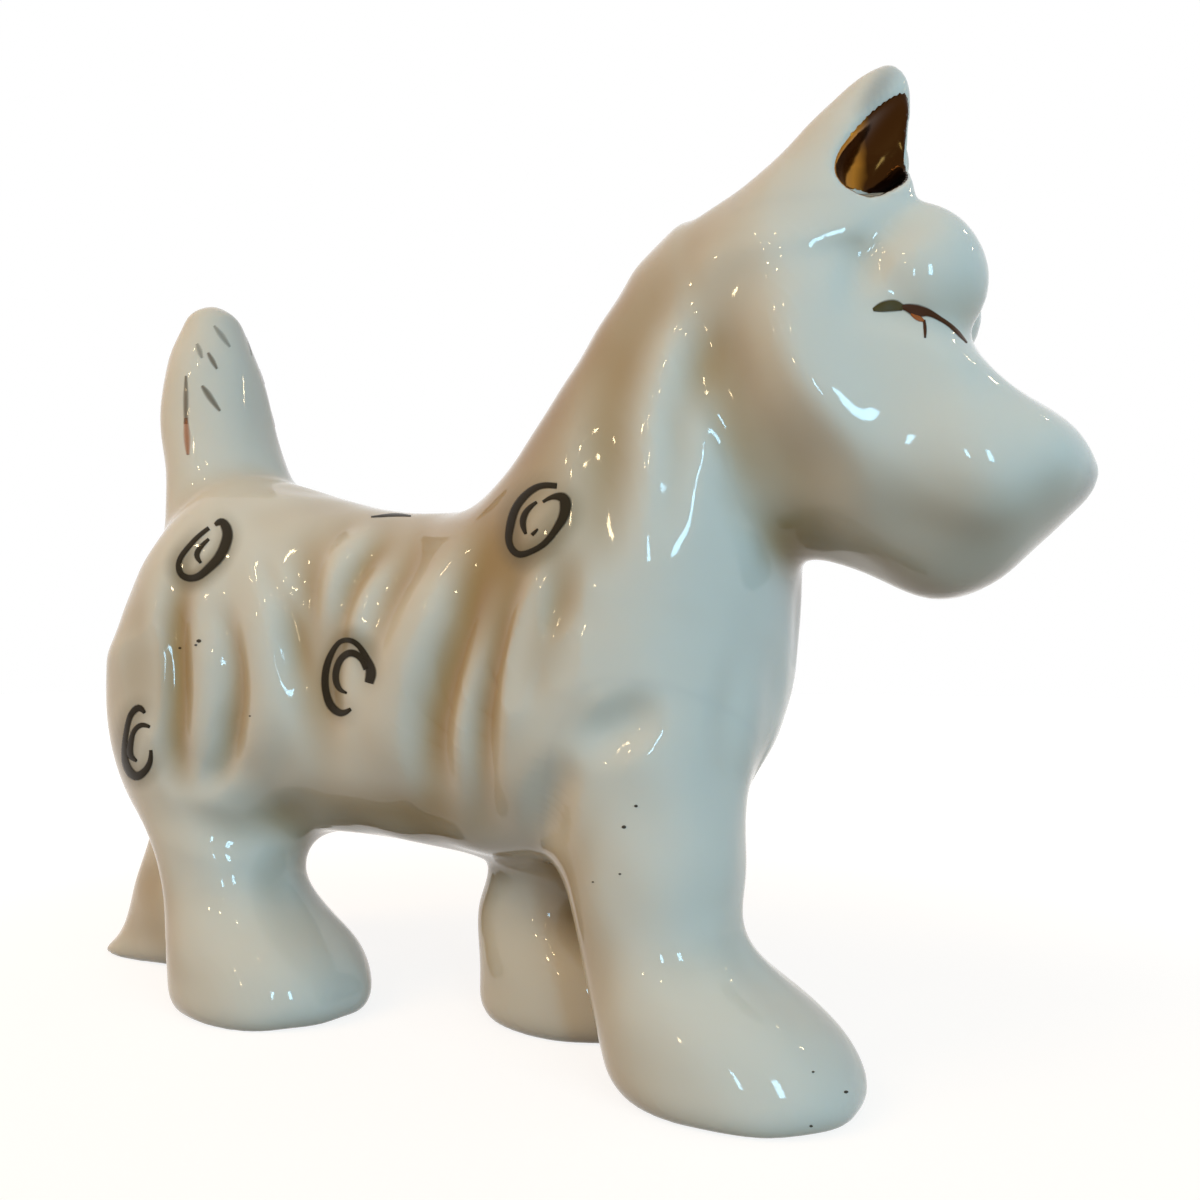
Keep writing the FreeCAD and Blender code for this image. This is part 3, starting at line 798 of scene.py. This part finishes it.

# %% [markdown]
# Glaze runs off the ridges and gathers in the folds, where it looks deeper and warmer, and the
# same warm tan is laid on as painted shade, in the folds and wherever the coat lies in shadow.
# How hollow the skin is at a point tells how much tan goes there: the mean of the neighbours
# lies outside the skin in a hollow, and inside it on a ridge.

# %% How much glaze gathers, and how much shade is painted
# The face, in front of the seat where the head was stuck on, gets much less of the tan. The
# inner sides of the legs and the undersides get more of it, as painted shade.
hollow_weight, press_weight, painted_shade_weight, underside_shade_share = 6.0, 0.34, 1.7, 0.8
face_tan_cut, face_tan_from, face_tan_blend, legs_top, legs_blend = 0.75, 2, 8, 45, 8
seat = np.cross(throat - poll, (0, 1, 0))
seat = np.sign(seat[0]) * seat / np.linalg.norm(seat)
hollow = np.einsum("ij,ij->i", neighbour_mean(points, triangles) - points, normals)[:, None] / voxel**2
hollow = smoothed(hollow, triangles, 24)[:, 0]
painted_shade = both_sides(painted_shade_marks, *on_coat)
face_tan_factor = 1 - face_tan_cut * np.clip(((rest_points - poll) @ seat - face_tan_from) / face_tan_blend, 0, 1)
pool_and_shade = np.clip(hollow * hollow_weight + press_weight * coat_depth + painted_shade_weight * painted_shade, 0, 1) * face_tan_factor
# Painted shade: the inner sides of the legs and the skin that faces down are darkened with the tan.
inward = np.clip(-normals[:, 1] * np.sign(rest_points[:, 1]), 0, 1)
inward *= np.clip((legs_top - rest_points[:, 2]) / legs_blend, 0, 1)
downward = 0.8 * np.clip(-normals[:, 2] - 0.1, 0, 1)
pool_and_shade = np.clip(pool_and_shade + underside_shade_share * np.maximum(inward, downward), 0, 1)
pool_and_shade = smoothed(pool_and_shade[:, None], triangles, 12)[:, 0]
print("pool_and_shade", np.percentile(pool_and_shade, (50, 90, 99)).round(2), "on the legs", pool_and_shade[inward > 0.5].mean().round(2))

# %% [markdown]
# ## Parting the skin at the old joints
#
# Each piece of the construction gets its own part of the skin. A number at every point
# tells on which side of a joint it lies, a triangle that has both signs is cut where the
# number is nought, and a fan closes both sides of the cut. The normals come from the whole
# skin, so a joint doesn't show in the gloss.

# %% Tools for parting
def sample(block, at_points):
    """A block's value at each point, by trilinear interpolation."""
    at = at_points / voxel - low_index
    i = np.clip(at.astype(int), 0, np.array(shape) - 2)
    f = at - i
    return sum(np.prod(np.where(corner, f, 1 - f), axis=1) * block[tuple((i + corner).T)]
               for corner in np.ndindex(2, 2, 2))


class Skin:
    """Points with their rows of values, the triangles of the skin and those of the caps."""

    def __init__(self, points, values, triangles, caps=np.zeros((0, 3), int)):
        """A skin has no caps before its first cut."""
        self.points, self.values, self.triangles, self.caps = points, values, triangles, caps

    def kept(self):
        """The same skin without points that no triangle uses."""
        used = np.unique(np.concatenate([self.triangles.ravel(), self.caps.ravel()]))
        place = np.zeros(len(self.points), int)
        place[used] = np.arange(len(used))
        return Skin(self.points[used], self.values[used], place[self.triangles], place[self.caps])


def part(whole, side):
    """The skin where side is above nought, and the rest, both closed by a fan at the cut."""
    side = np.where(np.abs(side) < 1e-4, 1e-4, side)  # no point lies exactly on the cut
    t, inside = whole.triangles, side[whole.triangles] > 0
    count = inside.sum(1)
    mixed = (count == 1) | (count == 2)
    lone = np.argmax(inside[mixed] == (count[mixed] == 1)[:, None], axis=1)
    order = (lone[:, None] + np.arange(3)) % 3
    a, b, c = np.take_along_axis(t[mixed], order, axis=1).T
    edges, which = np.unique(np.sort(np.vstack([np.stack([a, b], -1), np.stack([a, c], -1)]), axis=1),
                             axis=0, return_inverse=True)
    share = (side[edges[:, 0]] / (side[edges[:, 0]] - side[edges[:, 1]]))[:, None]
    new_points = whole.points[edges[:, 0]] * (1 - share) + whole.points[edges[:, 1]] * share
    new_values = whole.values[edges[:, 0]] * (1 - share) + whole.values[edges[:, 1]] * share
    which = which.ravel() + len(whole.points)
    ab, ac = which[:len(a)], which[len(a):]
    points = np.vstack([whole.points, new_points, new_points.mean(0)])
    values = np.vstack([whole.values, new_values, new_values.mean(0)])
    middle = np.full(len(a), len(points) - 1)
    lone_part, lone_cap = np.stack([a, ab, ac], -1), np.stack([ac, ab, middle], -1)
    pair_part = np.concatenate([np.stack([ab, b, c], -1), np.stack([ab, c, ac], -1)])
    pair_cap = np.stack([ab, ac, middle], -1)
    up = inside[mixed].sum(1) == 1
    made = []
    for wanted, full in ((True, count == 3), (False, count == 0)):
        own = up == wanted
        walls = np.concatenate([t[full], lone_part[own], pair_part[np.tile(~own, 2)]])
        caps = np.concatenate([lone_cap[own], pair_cap[~own]])
        cap_side = side[whole.caps] > 0 if len(whole.caps) else np.zeros((0, 3), bool)
        old = whole.caps[cap_side.all(1) if wanted else ~cap_side.all(1)]
        made.append(Skin(points, values, walls, np.concatenate([old, caps])).kept())
    return made


print("the poll is", sample(trunk_block, poll[None]).round(2), "mm outside the trunk's skin")

# %% [markdown]
# A leg is what lies outside the trunk's own surface and nearer to its grid than to the other
# legs'. The tail, the head and the ears follow the same rule within a box around each, and
# the trunk is what is left.

# %% On which side of each joint every point lies
NORMAL, POOL_AND_SHADE, REST, UNDERGLAZE = slice(0, 3), 3, slice(4, 7), slice(7, 11)
values = np.hstack([normals, pool_and_shade[:, None], rest_points, underglaze])
body = Skin(points, values, triangles)
leg_joint, tail_joint, ear_joint, least_gap = 0.8, 1.0, 0.9, 0.01
legs_end, head_start, tail_start, ears_start, top_height = 44, 40, 52, 80, 99
rump, ears_back, ears_front, half_room = -30, 60, 120, 30
pieces = {}


def take(body, name, side_of):
    """Part one piece from a body, by a rule on its points at rest, and return what is left."""
    pieces[name], left_over = part(body, side_of(body.values[:, REST]))
    print(name, len(pieces[name].triangles), "triangles", len(pieces[name].caps), "in the cap")
    return left_over


def inside_box(p, low, high):
    """How far each point is inside a box, less than nought outside."""
    return np.minimum(p - low, np.array(high) - p).min(1)


def ear_rule(low_y, high_y):
    """The rule for an ear between two widths of the head, turned back with it."""
    low, high = (ears_back, low_y, ears_start), (ears_front, high_y, top_height)
    return lambda p: np.minimum(sample(skull_block, p) - ear_joint,
                                inside_box(turned(p, -head_turn), low, high))


for name, block in leg_blocks.items():
    rival = np.minimum.reduce([other for key, other in leg_blocks.items() if key != name])
    body = take(body, name, lambda p: np.minimum.reduce([
        sample(trunk_block, p) - leg_joint, sample(rival - block, p) - least_gap, legs_end - p[:, 2]]))
tail_box = (rump, -half_room, tail_start), (half_room, half_room, top_height)
body = take(body, "tail", lambda p: np.minimum(sample(trunk_block, p) - tail_joint, inside_box(p, *tail_box)))
body = take(body, "head", lambda p: np.minimum((p - poll) @ seat, p[:, 2] - head_start))
bare_head = take(pieces["head"], "right_ear", ear_rule(-half_room, 0.0))
pieces["head"] = take(bare_head, "left_ear", ear_rule(0.0, half_room))
pieces["trunk"] = body

# %% [markdown]
# Blender gets the arrays as meshes. Each piece stays at the origin, because the frame places
# it. The whole skin's normals are set on the corners, so the gloss runs over a joint without
# a break, and only the hidden caps are flat.

# %% A mesh object from a skin
def make(name, points, triangles):
    """An object at the origin whose mesh holds the points in the frame's metres."""
    mesh = bpy.data.meshes.new(name)
    mesh.from_pydata((points + ORIGIN) * MM, [], triangles)
    mesh.polygons.foreach_set("use_smooth", np.ones(len(triangles), bool))
    piece = bpy.data.objects.new(name, mesh)
    bpy.context.collection.objects.link(piece)
    return piece


def face_normals(points, triangles):
    """The unit normal of each triangle."""
    a, b, c = (points[triangles[:, i]] for i in range(3))
    face = np.cross(b - a, c - a)
    return face / np.maximum(np.linalg.norm(face, axis=1, keepdims=True), 1e-12)


def give(piece, name, values):
    """A number or a colour at each point of a piece, for its material to read."""
    kind, field = ("FLOAT_COLOR", "color") if values.ndim == 2 else ("FLOAT", "value")
    piece.data.attributes.new(name, kind, "POINT").data.foreach_set(field, values.astype(np.float32).ravel())


def make_skin(name, skin_part):
    """A mesh object whose gloss follows the whole skin, flat on the caps."""
    piece = make(name, skin_part.points, np.concatenate([skin_part.triangles, skin_part.caps]))
    smooth = skin_part.values[:, NORMAL][skin_part.triangles.ravel()]
    flat = np.repeat(face_normals(skin_part.points, skin_part.caps), 3, axis=0)
    piece.data.normals_split_custom_set(np.concatenate([smooth, flat]))
    give(piece, "pool_and_shade", skin_part.values[:, POOL_AND_SHADE])
    give(piece, "underglaze", skin_part.values[:, UNDERGLAZE])
    return piece


def new_material(name, **sockets):
    """A Principled material, with each named value set on the shader's own socket."""
    material = bpy.data.materials.new(name)
    material.use_nodes = True
    shader = material.node_tree.nodes["Principled BSDF"]
    for socket, value in sockets.items():
        shader.inputs[socket.replace("_", " ")].default_value = value
    return material, material.node_tree.nodes, material.node_tree.links, shader


def add(nodes, kind, sockets=None, **settings):
    """A new shader node of a kind, with its settings, and values on its named sockets."""
    node = nodes.new("ShaderNode" + kind)
    for name, value in settings.items():
        setattr(node, name, value)
    for name, value in (sockets or {}).items():
        node.inputs[name].default_value = value
    return node


def wire(links, *wires):
    """Links between nodes: each wire is a node, its output, the next node and its input."""
    for start, output, end, socket in wires:
        links.new(start.outputs[output], end.inputs[socket])


def hand_over(piece, slot, *replaced):
    """The piece rides on the root body and stands for its nodes, which are hidden. The slot is not used."""
    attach(piece, "root")
    if replaced:
        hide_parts(*replaced)


# %% [markdown]
# ## The glaze
#
# White porcelain under a thick clear glaze: an ivory body that lets a little light in, a
# sharp coat, a warmer tone where glaze gathers and where shade is painted on, and a skin that
# is never quite even, so a highlight wavers. The feet stand on bare ground porcelain, because
# a glazed sole would stick to the kiln shelf.

# %% Glaze and bare porcelain
# The second colour is the warm tan of glaze gathered in the folds, and also painted shade.
ivory, gathered_and_shade_tan = (0.68, 0.645, 0.565, 1), (0.37, 0.235, 0.085, 1)
waver_scale, waver_strength, waver_height = 150.0, 0.7, 0.00006
glaze, nodes, links, shader = new_material(
    "glaze", Roughness=0.05, IOR=1.5, Specular_IOR_Level=0.32, Subsurface_Weight=0.10,
    Subsurface_Radius=(0.003, 0.002, 0.0012), Subsurface_Scale=1.0)
pool_and_shade_node, wash = (add(nodes, "Attribute", attribute_name=name) for name in ("pool_and_shade", "underglaze"))
pool_and_shade_mix, washed = (add(nodes, "Mix", data_type="RGBA") for _ in range(2))
pool_and_shade_mix.inputs["A"].default_value, pool_and_shade_mix.inputs["B"].default_value = ivory, gathered_and_shade_tan
place, waver = add(nodes, "TexCoord"), add(nodes, "TexNoise", {"Scale": waver_scale, "Detail": 1.0})
bump = add(nodes, "Bump", {"Strength": waver_strength, "Distance": waver_height})
wire(links, (place, "Object", waver, "Vector"), (waver, "Fac", bump, "Height"),
     (bump, "Normal", shader, "Normal"), (pool_and_shade_node, "Fac", pool_and_shade_mix, "Factor"), (pool_and_shade_mix, "Result", washed, "A"),
     (wash, "Color", washed, "B"), (wash, "Alpha", washed, "Factor"), (washed, "Result", shader, "Base Color"))
bare = new_material("bare_porcelain", Base_Color=(0.72, 0.68, 0.60, 1), Roughness=0.75)[0]
print("glaze nodes", len(nodes))

# %% [markdown]
# Each part of the skin stands for its node of the construction. The faces close to the floor
# get the bare porcelain: the soles were wiped clean before the firing.

# %% The glazed pieces
sole_height = 0.25
for name, skin_part in pieces.items():
    piece = make_skin(name + "_glazed", skin_part)
    piece.data.materials.append(glaze)
    piece.data.materials.append(bare)
    faces = np.concatenate([skin_part.triangles, skin_part.caps])
    on_floor = (skin_part.points[:, 2][faces] < sole_height).all(1)
    piece.data.polygons.foreach_set("material_index", on_floor.astype(np.int32))
    hand_over(piece, "glazed_porcelain", name)
    print(name, len(faces), "triangles,", int(on_floor.sum()), "on the floor")

# %% [markdown]
# ## Gold in the ears
#
# The scoop of each ear is lined with fired gold. The lining is the part of the ear's skin
# that the scooping tool has touched, lifted a little, and given a back and a rim. The gold is
# amber at the back edge, and towards the front a painted dark reflection makes it nearly
# black, with some noise between.

# %% The gilding
gilding_lift, gilding_sink, gilding_reach = 0.04, 0.12, 0.22
front_along, front_across = 0.88, 0.47
# Amber is the gold's own colour; the near black is a painted dark reflection.
amber, dark_reflection = (0.30, 0.135, 0.018, 1), (0.035, 0.013, 0.003, 1)
gold, nodes, links, shader = new_material("fired_gold", Metallic=1.0, Roughness=0.16)
place, reflection_noise = add(nodes, "TexCoord"), add(nodes, "TexNoise", {"Scale": 110.0, "Detail": 3.0})
front, both = add(nodes, "Attribute", attribute_name="front_share"), add(nodes, "Math")
reflection_ramp = add(nodes, "MapRange", {"From Min": 0.80, "From Max": 1.0})
gold_mix = add(nodes, "Mix", data_type="RGBA")
gold_mix.inputs["A"].default_value, gold_mix.inputs["B"].default_value = amber, dark_reflection
wire(links, (place, "Object", reflection_noise, "Vector"), (reflection_noise, "Fac", both, 0), (front, "Fac", both, 1),
     (both, "Value", reflection_ramp, "Value"), (reflection_ramp, "Result", gold_mix, "Factor"),
     (gold_mix, "Result", shader, "Base Color"))


def shell(patch, lift, sink):
    """A thin closed plate over a patch of skin: lifted top, sunk back and a rim between."""
    n, t = len(patch.points), patch.triangles
    start, end = t.ravel(), np.roll(t, -1, axis=1).ravel()
    rim = ~np.isin(start * n + end, end * n + start)
    a, b = start[rim], end[rim]
    walls = np.concatenate([np.stack([b, a, a + n], -1), np.stack([b, a + n, b + n], -1)])
    normal = patch.values[:, NORMAL]
    return (np.vstack([patch.points + normal * lift, patch.points - normal * sink]),
            np.concatenate([t, t[:, ::-1] + n, walls]))


for side in ("right", "left"):
    ear = pieces[side + "_ear"]
    patch, _ = part(ear, gilding_reach - sample(scoop_block, ear.values[:, REST]))
    patch.caps = patch.caps[:0]
    plate_points, plate_triangles = shell(patch.kept(), gilding_lift, gilding_sink)
    lining = make(side + "_ear_gold", plate_points, plate_triangles)
    forward = plate_points @ (front_along, front_across if side == "right" else -front_across, 0)
    give(lining, "front_share", (forward - forward.min()) / np.ptp(forward))
    lining.data.materials.append(gold)
    hand_over(lining, "gilding", side + "_ear_gilding")
    print(side, len(lining.data.polygons), "triangles of gold")

# %% [markdown]
# ## Enamel on the glaze
#
# Enamel stands up from the glaze by a few hundredths of a millimetre. A stroke is a long
# thin pad: the rays of seven pixels side by side find the skin all along the path, the top
# is domed across them, and the back lies just inside the glaze. The far side can't be
# seen in the photograph, so it gets similar marks in mirror image, moved a little.

# %% Laying strokes on the skin
tree = BVHTree.FromPolygons(points.tolist(), triangles.tolist())
enamel_lift, enamel_sink, lanes, edge_height = 0.05, 0.15, 7, 0.2
least_rings, ring_gap, thinnest = 6, 2.0, 0.4


def stroke_rays(stroke, shift=(0, 0)):
    """The pixels of the lanes side by side along a stroke."""
    stroke = np.array(stroke, float) + (*shift, 0)
    way = along(stroke[:, :2])
    row = flow(stroke, way, max(least_rings, int(way[-1] / ring_gap)))
    tangent = np.gradient(row[:, :2], axis=0)
    tangent /= np.linalg.norm(tangent, axis=1, keepdims=True)
    across = tangent[:, ::-1] * (1, -1)
    lane = np.linspace(-1, 1, lanes)[None, :, None]
    return row[:, None, :2] + lane * (across * np.maximum(row[:, 2:3], thinnest))[:, None]


def pad(stroke, flip=None, shift=(0, 0)):
    """Points, triangles and the dome's height of one stroke, on the side seen or flipped."""
    uv = stroke_rays(stroke, shift)
    origin = Vector(camera_place)
    hits = [tree.ray_cast(origin, Vector(ray)) for ray in rays(uv.reshape(-1, 2))]
    if any(hit[0] is None for hit in hits):
        return None
    if flip is not None:
        hits = [tree.find_nearest(Vector(place)) for place in flip(np.array([hit[0] for hit in hits]))]
    place = np.array([hit[0] for hit in hits]).reshape(uv.shape[0], lanes, 3)
    normal = np.array([hit[1] for hit in hits]).reshape(place.shape).mean(axis=1, keepdims=True)
    dome = np.tile((1 - np.linspace(-1, 1, lanes) ** 2)[None, :, None], (len(uv), 1, 1))
    top, back = place + normal * enamel_lift * (edge_height + dome), place - normal * enamel_sink
    pad_points, pad_triangles = closed(np.concatenate([top, back[:, ::-1]], axis=1))
    heights = closed(np.repeat(np.concatenate([dome, dome], axis=1), 3, axis=2))[0][:, 0]
    a, b, c = (pad_points[pad_triangles[:, i]] for i in range(3))
    inside_out = np.einsum("ij,ij->i", a - pad_points[0], np.cross(b - a, c - a)).sum() < 0
    return pad_points, pad_triangles[:, ::-1] if inside_out else pad_triangles, heights


def paint(name, batches):
    """One mesh of strokes. Each batch has its colour, how dense it is and how crisp its edge."""
    all_points, all_triangles, all_tones, count = [], [], [], 0
    for (*tone, density, crisp), strokes, flip, shift in batches:
        for stroke in strokes:
            made = pad(stroke, flip, shift)
            if made is None:
                print("off the figure:", name, stroke[0])
                continue
            place, faces, heights = made
            alpha = density * np.clip(crisp * heights, 0, 1)
            all_points.append(place)
            all_triangles.append(faces + count)
            all_tones.append(np.hstack([np.tile(tone, (len(place), 1)), alpha[:, None]]))
            count += len(place)
    piece = make(name, np.vstack(all_points), np.vstack(all_triangles))
    give(piece, "tone", np.vstack(all_tones))
    piece.data.materials.append(enamel)
    hand_over(piece, "enamel_marks")
    print(name, len(all_points), "strokes", len(piece.data.polygons), "triangles")


enamel, nodes, links, shader = new_material("enamel", Roughness=0.35, IOR=1.5, Specular_IOR_Level=0.1)
tone_node = add(nodes, "Attribute", attribute_name="tone")
wire(links, (tone_node, "Color", shader, "Base Color"), (tone_node, "Alpha", shader, "Alpha"))

# %% [markdown]
# The brush has black brown for the curls, a redder one for the eye and what was left in it
# for the tail. All strokes share one material and carry their tone as a colour at each
# point. The eyes are laid on both sides with the head's own mirror.

# %% The strokes of each place
# Each tone is a colour, then its density and how crisp its edge is.
black_brown, red_brown = (0.026, 0.018, 0.008, 0.92, 1.8), (0.065, 0.020, 0.006, 0.95, 3.0)
speck_brown = (0.035, 0.022, 0.012, 0.8, 2.0)
rust, olive = (0.38, 0.10, 0.02, 0.9, 2.0), (0.075, 0.055, 0.016, 0.93, 2.5)
soft_brown, soft_grey = (0.10, 0.06, 0.03, 0.6, 0.9), (0.20, 0.19, 0.16, 0.45, 0.9)
orange = (0.45, 0.13, 0.03, 0.65, 0.9)
near_curls = [(black_brown, curl, None, (0, 0)) for curl in curls]
far_curls = [(black_brown, curl, flip_coat, shift) for curl, shift in zip(curls, far_shifts)]
paint("painted_curls", near_curls + far_curls + [(black_brown, back_curl, None, (0, 0))])
paint("painted_eyes", [(tone, strokes, flip, (0, 0)) for flip in (None, flip_head) for tone, strokes in (
    (olive, eye_blobs[:1]), (red_brown, eye_blobs[1:]), (rust, lash_rust))])
paint("painted_tail", [(tone, strokes, flip, (0, 0)) for flip in (None, flip_coat) for tone, strokes in (
    (soft_brown, tail_browns), (soft_grey, tail_greys), (orange, tail_oranges))])
speck_strokes = [[(x - r, y, 0.5 * r), (x, y, r), (x + r, y, 0.5 * r)] for x, y, r in specks]
paint("glaze_specks", [(speck_brown, speck_strokes, None, (0, 0))])

# %% [markdown]
# ## The camera
#
# The camera stands where the fit above has put it, with the same focal length. So a pixel of
# the picture and a pixel in the tables are the same place on the figure.

# %% The camera object
camera = bpy.data.objects.new("camera", bpy.data.cameras.new("camera"))
camera.data.sensor_width = sensor_width
camera.data.lens = sensor_width * focal_pixels / frame_pixels
camera.data.clip_start = 0.005
camera.location = (camera_place + ORIGIN) * MM
camera.rotation_euler = (math.pi / 2 + tilt_up, 0, turn_left)
bpy.context.collection.objects.link(camera)
bpy.context.scene.camera = camera
print("camera at", [round(number, 3) for number in camera.location], "m")

# %% [markdown]
# ## Floor, background and light
#
# A pale floor under an even white background. A broad warm light stands behind on the
# left and a cool window in front on the right, as in the photograph. The broad lights only
# fill. The small bulbs and the tall window are what the gloss shows.

# %% Background
def view_share(nodes, links):
    """One for a ray that comes from the camera, off a gloss or through glass, else nought."""
    ray_kind = add(nodes, "LightPath")
    sharp, any_kind = (add(nodes, "Math", operation="MAXIMUM") for _ in range(2))
    wire(links, (ray_kind, "Is Camera Ray", sharp, 0), (ray_kind, "Is Glossy Ray", sharp, 1),
         (sharp, "Value", any_kind, 0), (ray_kind, "Is Transmission Ray", any_kind, 1))
    return any_kind


world = bpy.data.worlds.new("world")
world.use_nodes = True
nodes, links = world.node_tree.nodes, world.node_tree.links
room, white = nodes["Background"], add(nodes, "Background", {"Color": (1, 1, 1, 1), "Strength": 1.0})
room.inputs["Color"].default_value, room.inputs["Strength"].default_value = (1.0, 0.66, 0.34, 1), 0.22
chooser = add(nodes, "MixShader")
wire(links, (view_share(nodes, links), "Value", chooser, "Fac"), (room, "Background", chooser, 1),
     (white, "Background", chooser, 2), (chooser, "Shader", nodes["World Output"], "Surface"))
bpy.context.scene.world = world
print("world nodes", len(nodes))

# %% [markdown]
# The floor takes light and shadow as a plain pale surface. A glow that only the camera and
# the gloss see lifts it to the white of the background. The glow grows with the distance, so
# the shadow stays at the feet and no horizon shows.

# %% Floor
half_floor = 1500
corners = np.array([(-1, -1, 0), (1, -1, 0), (1, 1, 0), (-1, 1, 0)], float) * half_floor
floor = make("floor", corners, np.array([(0, 1, 2), (0, 2, 3)]))
floor_paint, nodes, links, shader = new_material(
    "floor_paint", Base_Color=(0.26, 0.245, 0.225, 1), Roughness=0.8)
place, away = add(nodes, "TexCoord"), add(nodes, "VectorMath", operation="LENGTH")
near_glow, far_glow, near_metres, far_metres = 0.83, 1.0, 0.05, 0.22
rise = add(nodes, "MapRange", {"From Min": near_metres, "From Max": far_metres, "To Min": near_glow,
                               "To Max": far_glow}, interpolation_type="SMOOTHSTEP")
glow = add(nodes, "Math", operation="MULTIPLY")
wire(links, (place, "Object", away, 0), (away, "Value", rise, "Value"), (rise, "Result", glow, 0),
     (view_share(nodes, links), "Value", glow, 1), (glow, "Value", shader, "Emission Strength"))
shader.inputs["Emission Color"].default_value = (1, 1, 1, 1)
floor.data.materials.append(floor_paint)
print("floor", 2 * half_floor * MM, "m wide")

# %% [markdown]
# A lamp is given as a direction and a distance from the figure. The two broad fills are
# hidden from the gloss, where they would show as large pale squares. The window and the
# casement draw the short cool streaks, and the bulbs the small warm sparks.

# %% Lamps
def lamp(name, azimuth, height_angle, away, size, power, colour, in_gloss=True):
    """A rectangular lamp in a direction in degrees from the figure's middle, facing it."""
    light = bpy.data.lights.new(name, "AREA")
    light.shape = "RECTANGLE"
    light.size, light.size_y = size[0] * MM, size[1] * MM
    light.energy, light.color = power, colour
    a, e = math.radians(azimuth), math.radians(height_angle)
    middle = Vector((own_middle + ORIGIN) * MM)
    way = Vector((math.cos(a) * math.cos(e), math.sin(a) * math.cos(e), math.sin(e)))
    holder = bpy.data.objects.new(name, light)
    holder.location = middle + way * away * MM
    holder.rotation_euler = way.to_track_quat("Z", "Y").to_euler()
    holder.visible_glossy = in_gloss
    bpy.context.collection.objects.link(holder)


warm, bulb_warm, cool = (1.0, 0.64, 0.28), (1.0, 0.76, 0.44), (0.40, 0.75, 1.0)
lamp("warm_fill", -128, 38, 420, (200, 200), 0.62, warm, in_gloss=False)
lamp("cool_fill", -30, 16, 420, (220, 220), 0.80, cool, in_gloss=False)
lamp("window", -46, 10, 600, (50, 130), 0.55, cool)
lamp("casement", -69, 6, 600, (30, 90), 0.25, cool)
bulbs = [(-103, 22), (-107, 40), (-94, 33), (-127, 18), (-88, 50), (40, 42), (31, 32),
         (-98, 8), (-115, 30), (-136, 34), (-120, 50), (-80, 24)]
bulb_away, bulb_size, bulb_power = 450, (12, 12), 0.026
for number, (azimuth, height_angle) in enumerate(bulbs):
    lamp("bulb_" + str(number), azimuth, height_angle, bulb_away, bulb_size, bulb_power, bulb_warm)
bpy.context.scene.view_settings.view_transform = "Standard"
print("lamps", len(bulbs) + 4)

# %% [markdown]
# ## The end
#
# Last, the view layer is brought up to date.

# %% The end
bpy.context.view_layer.update()
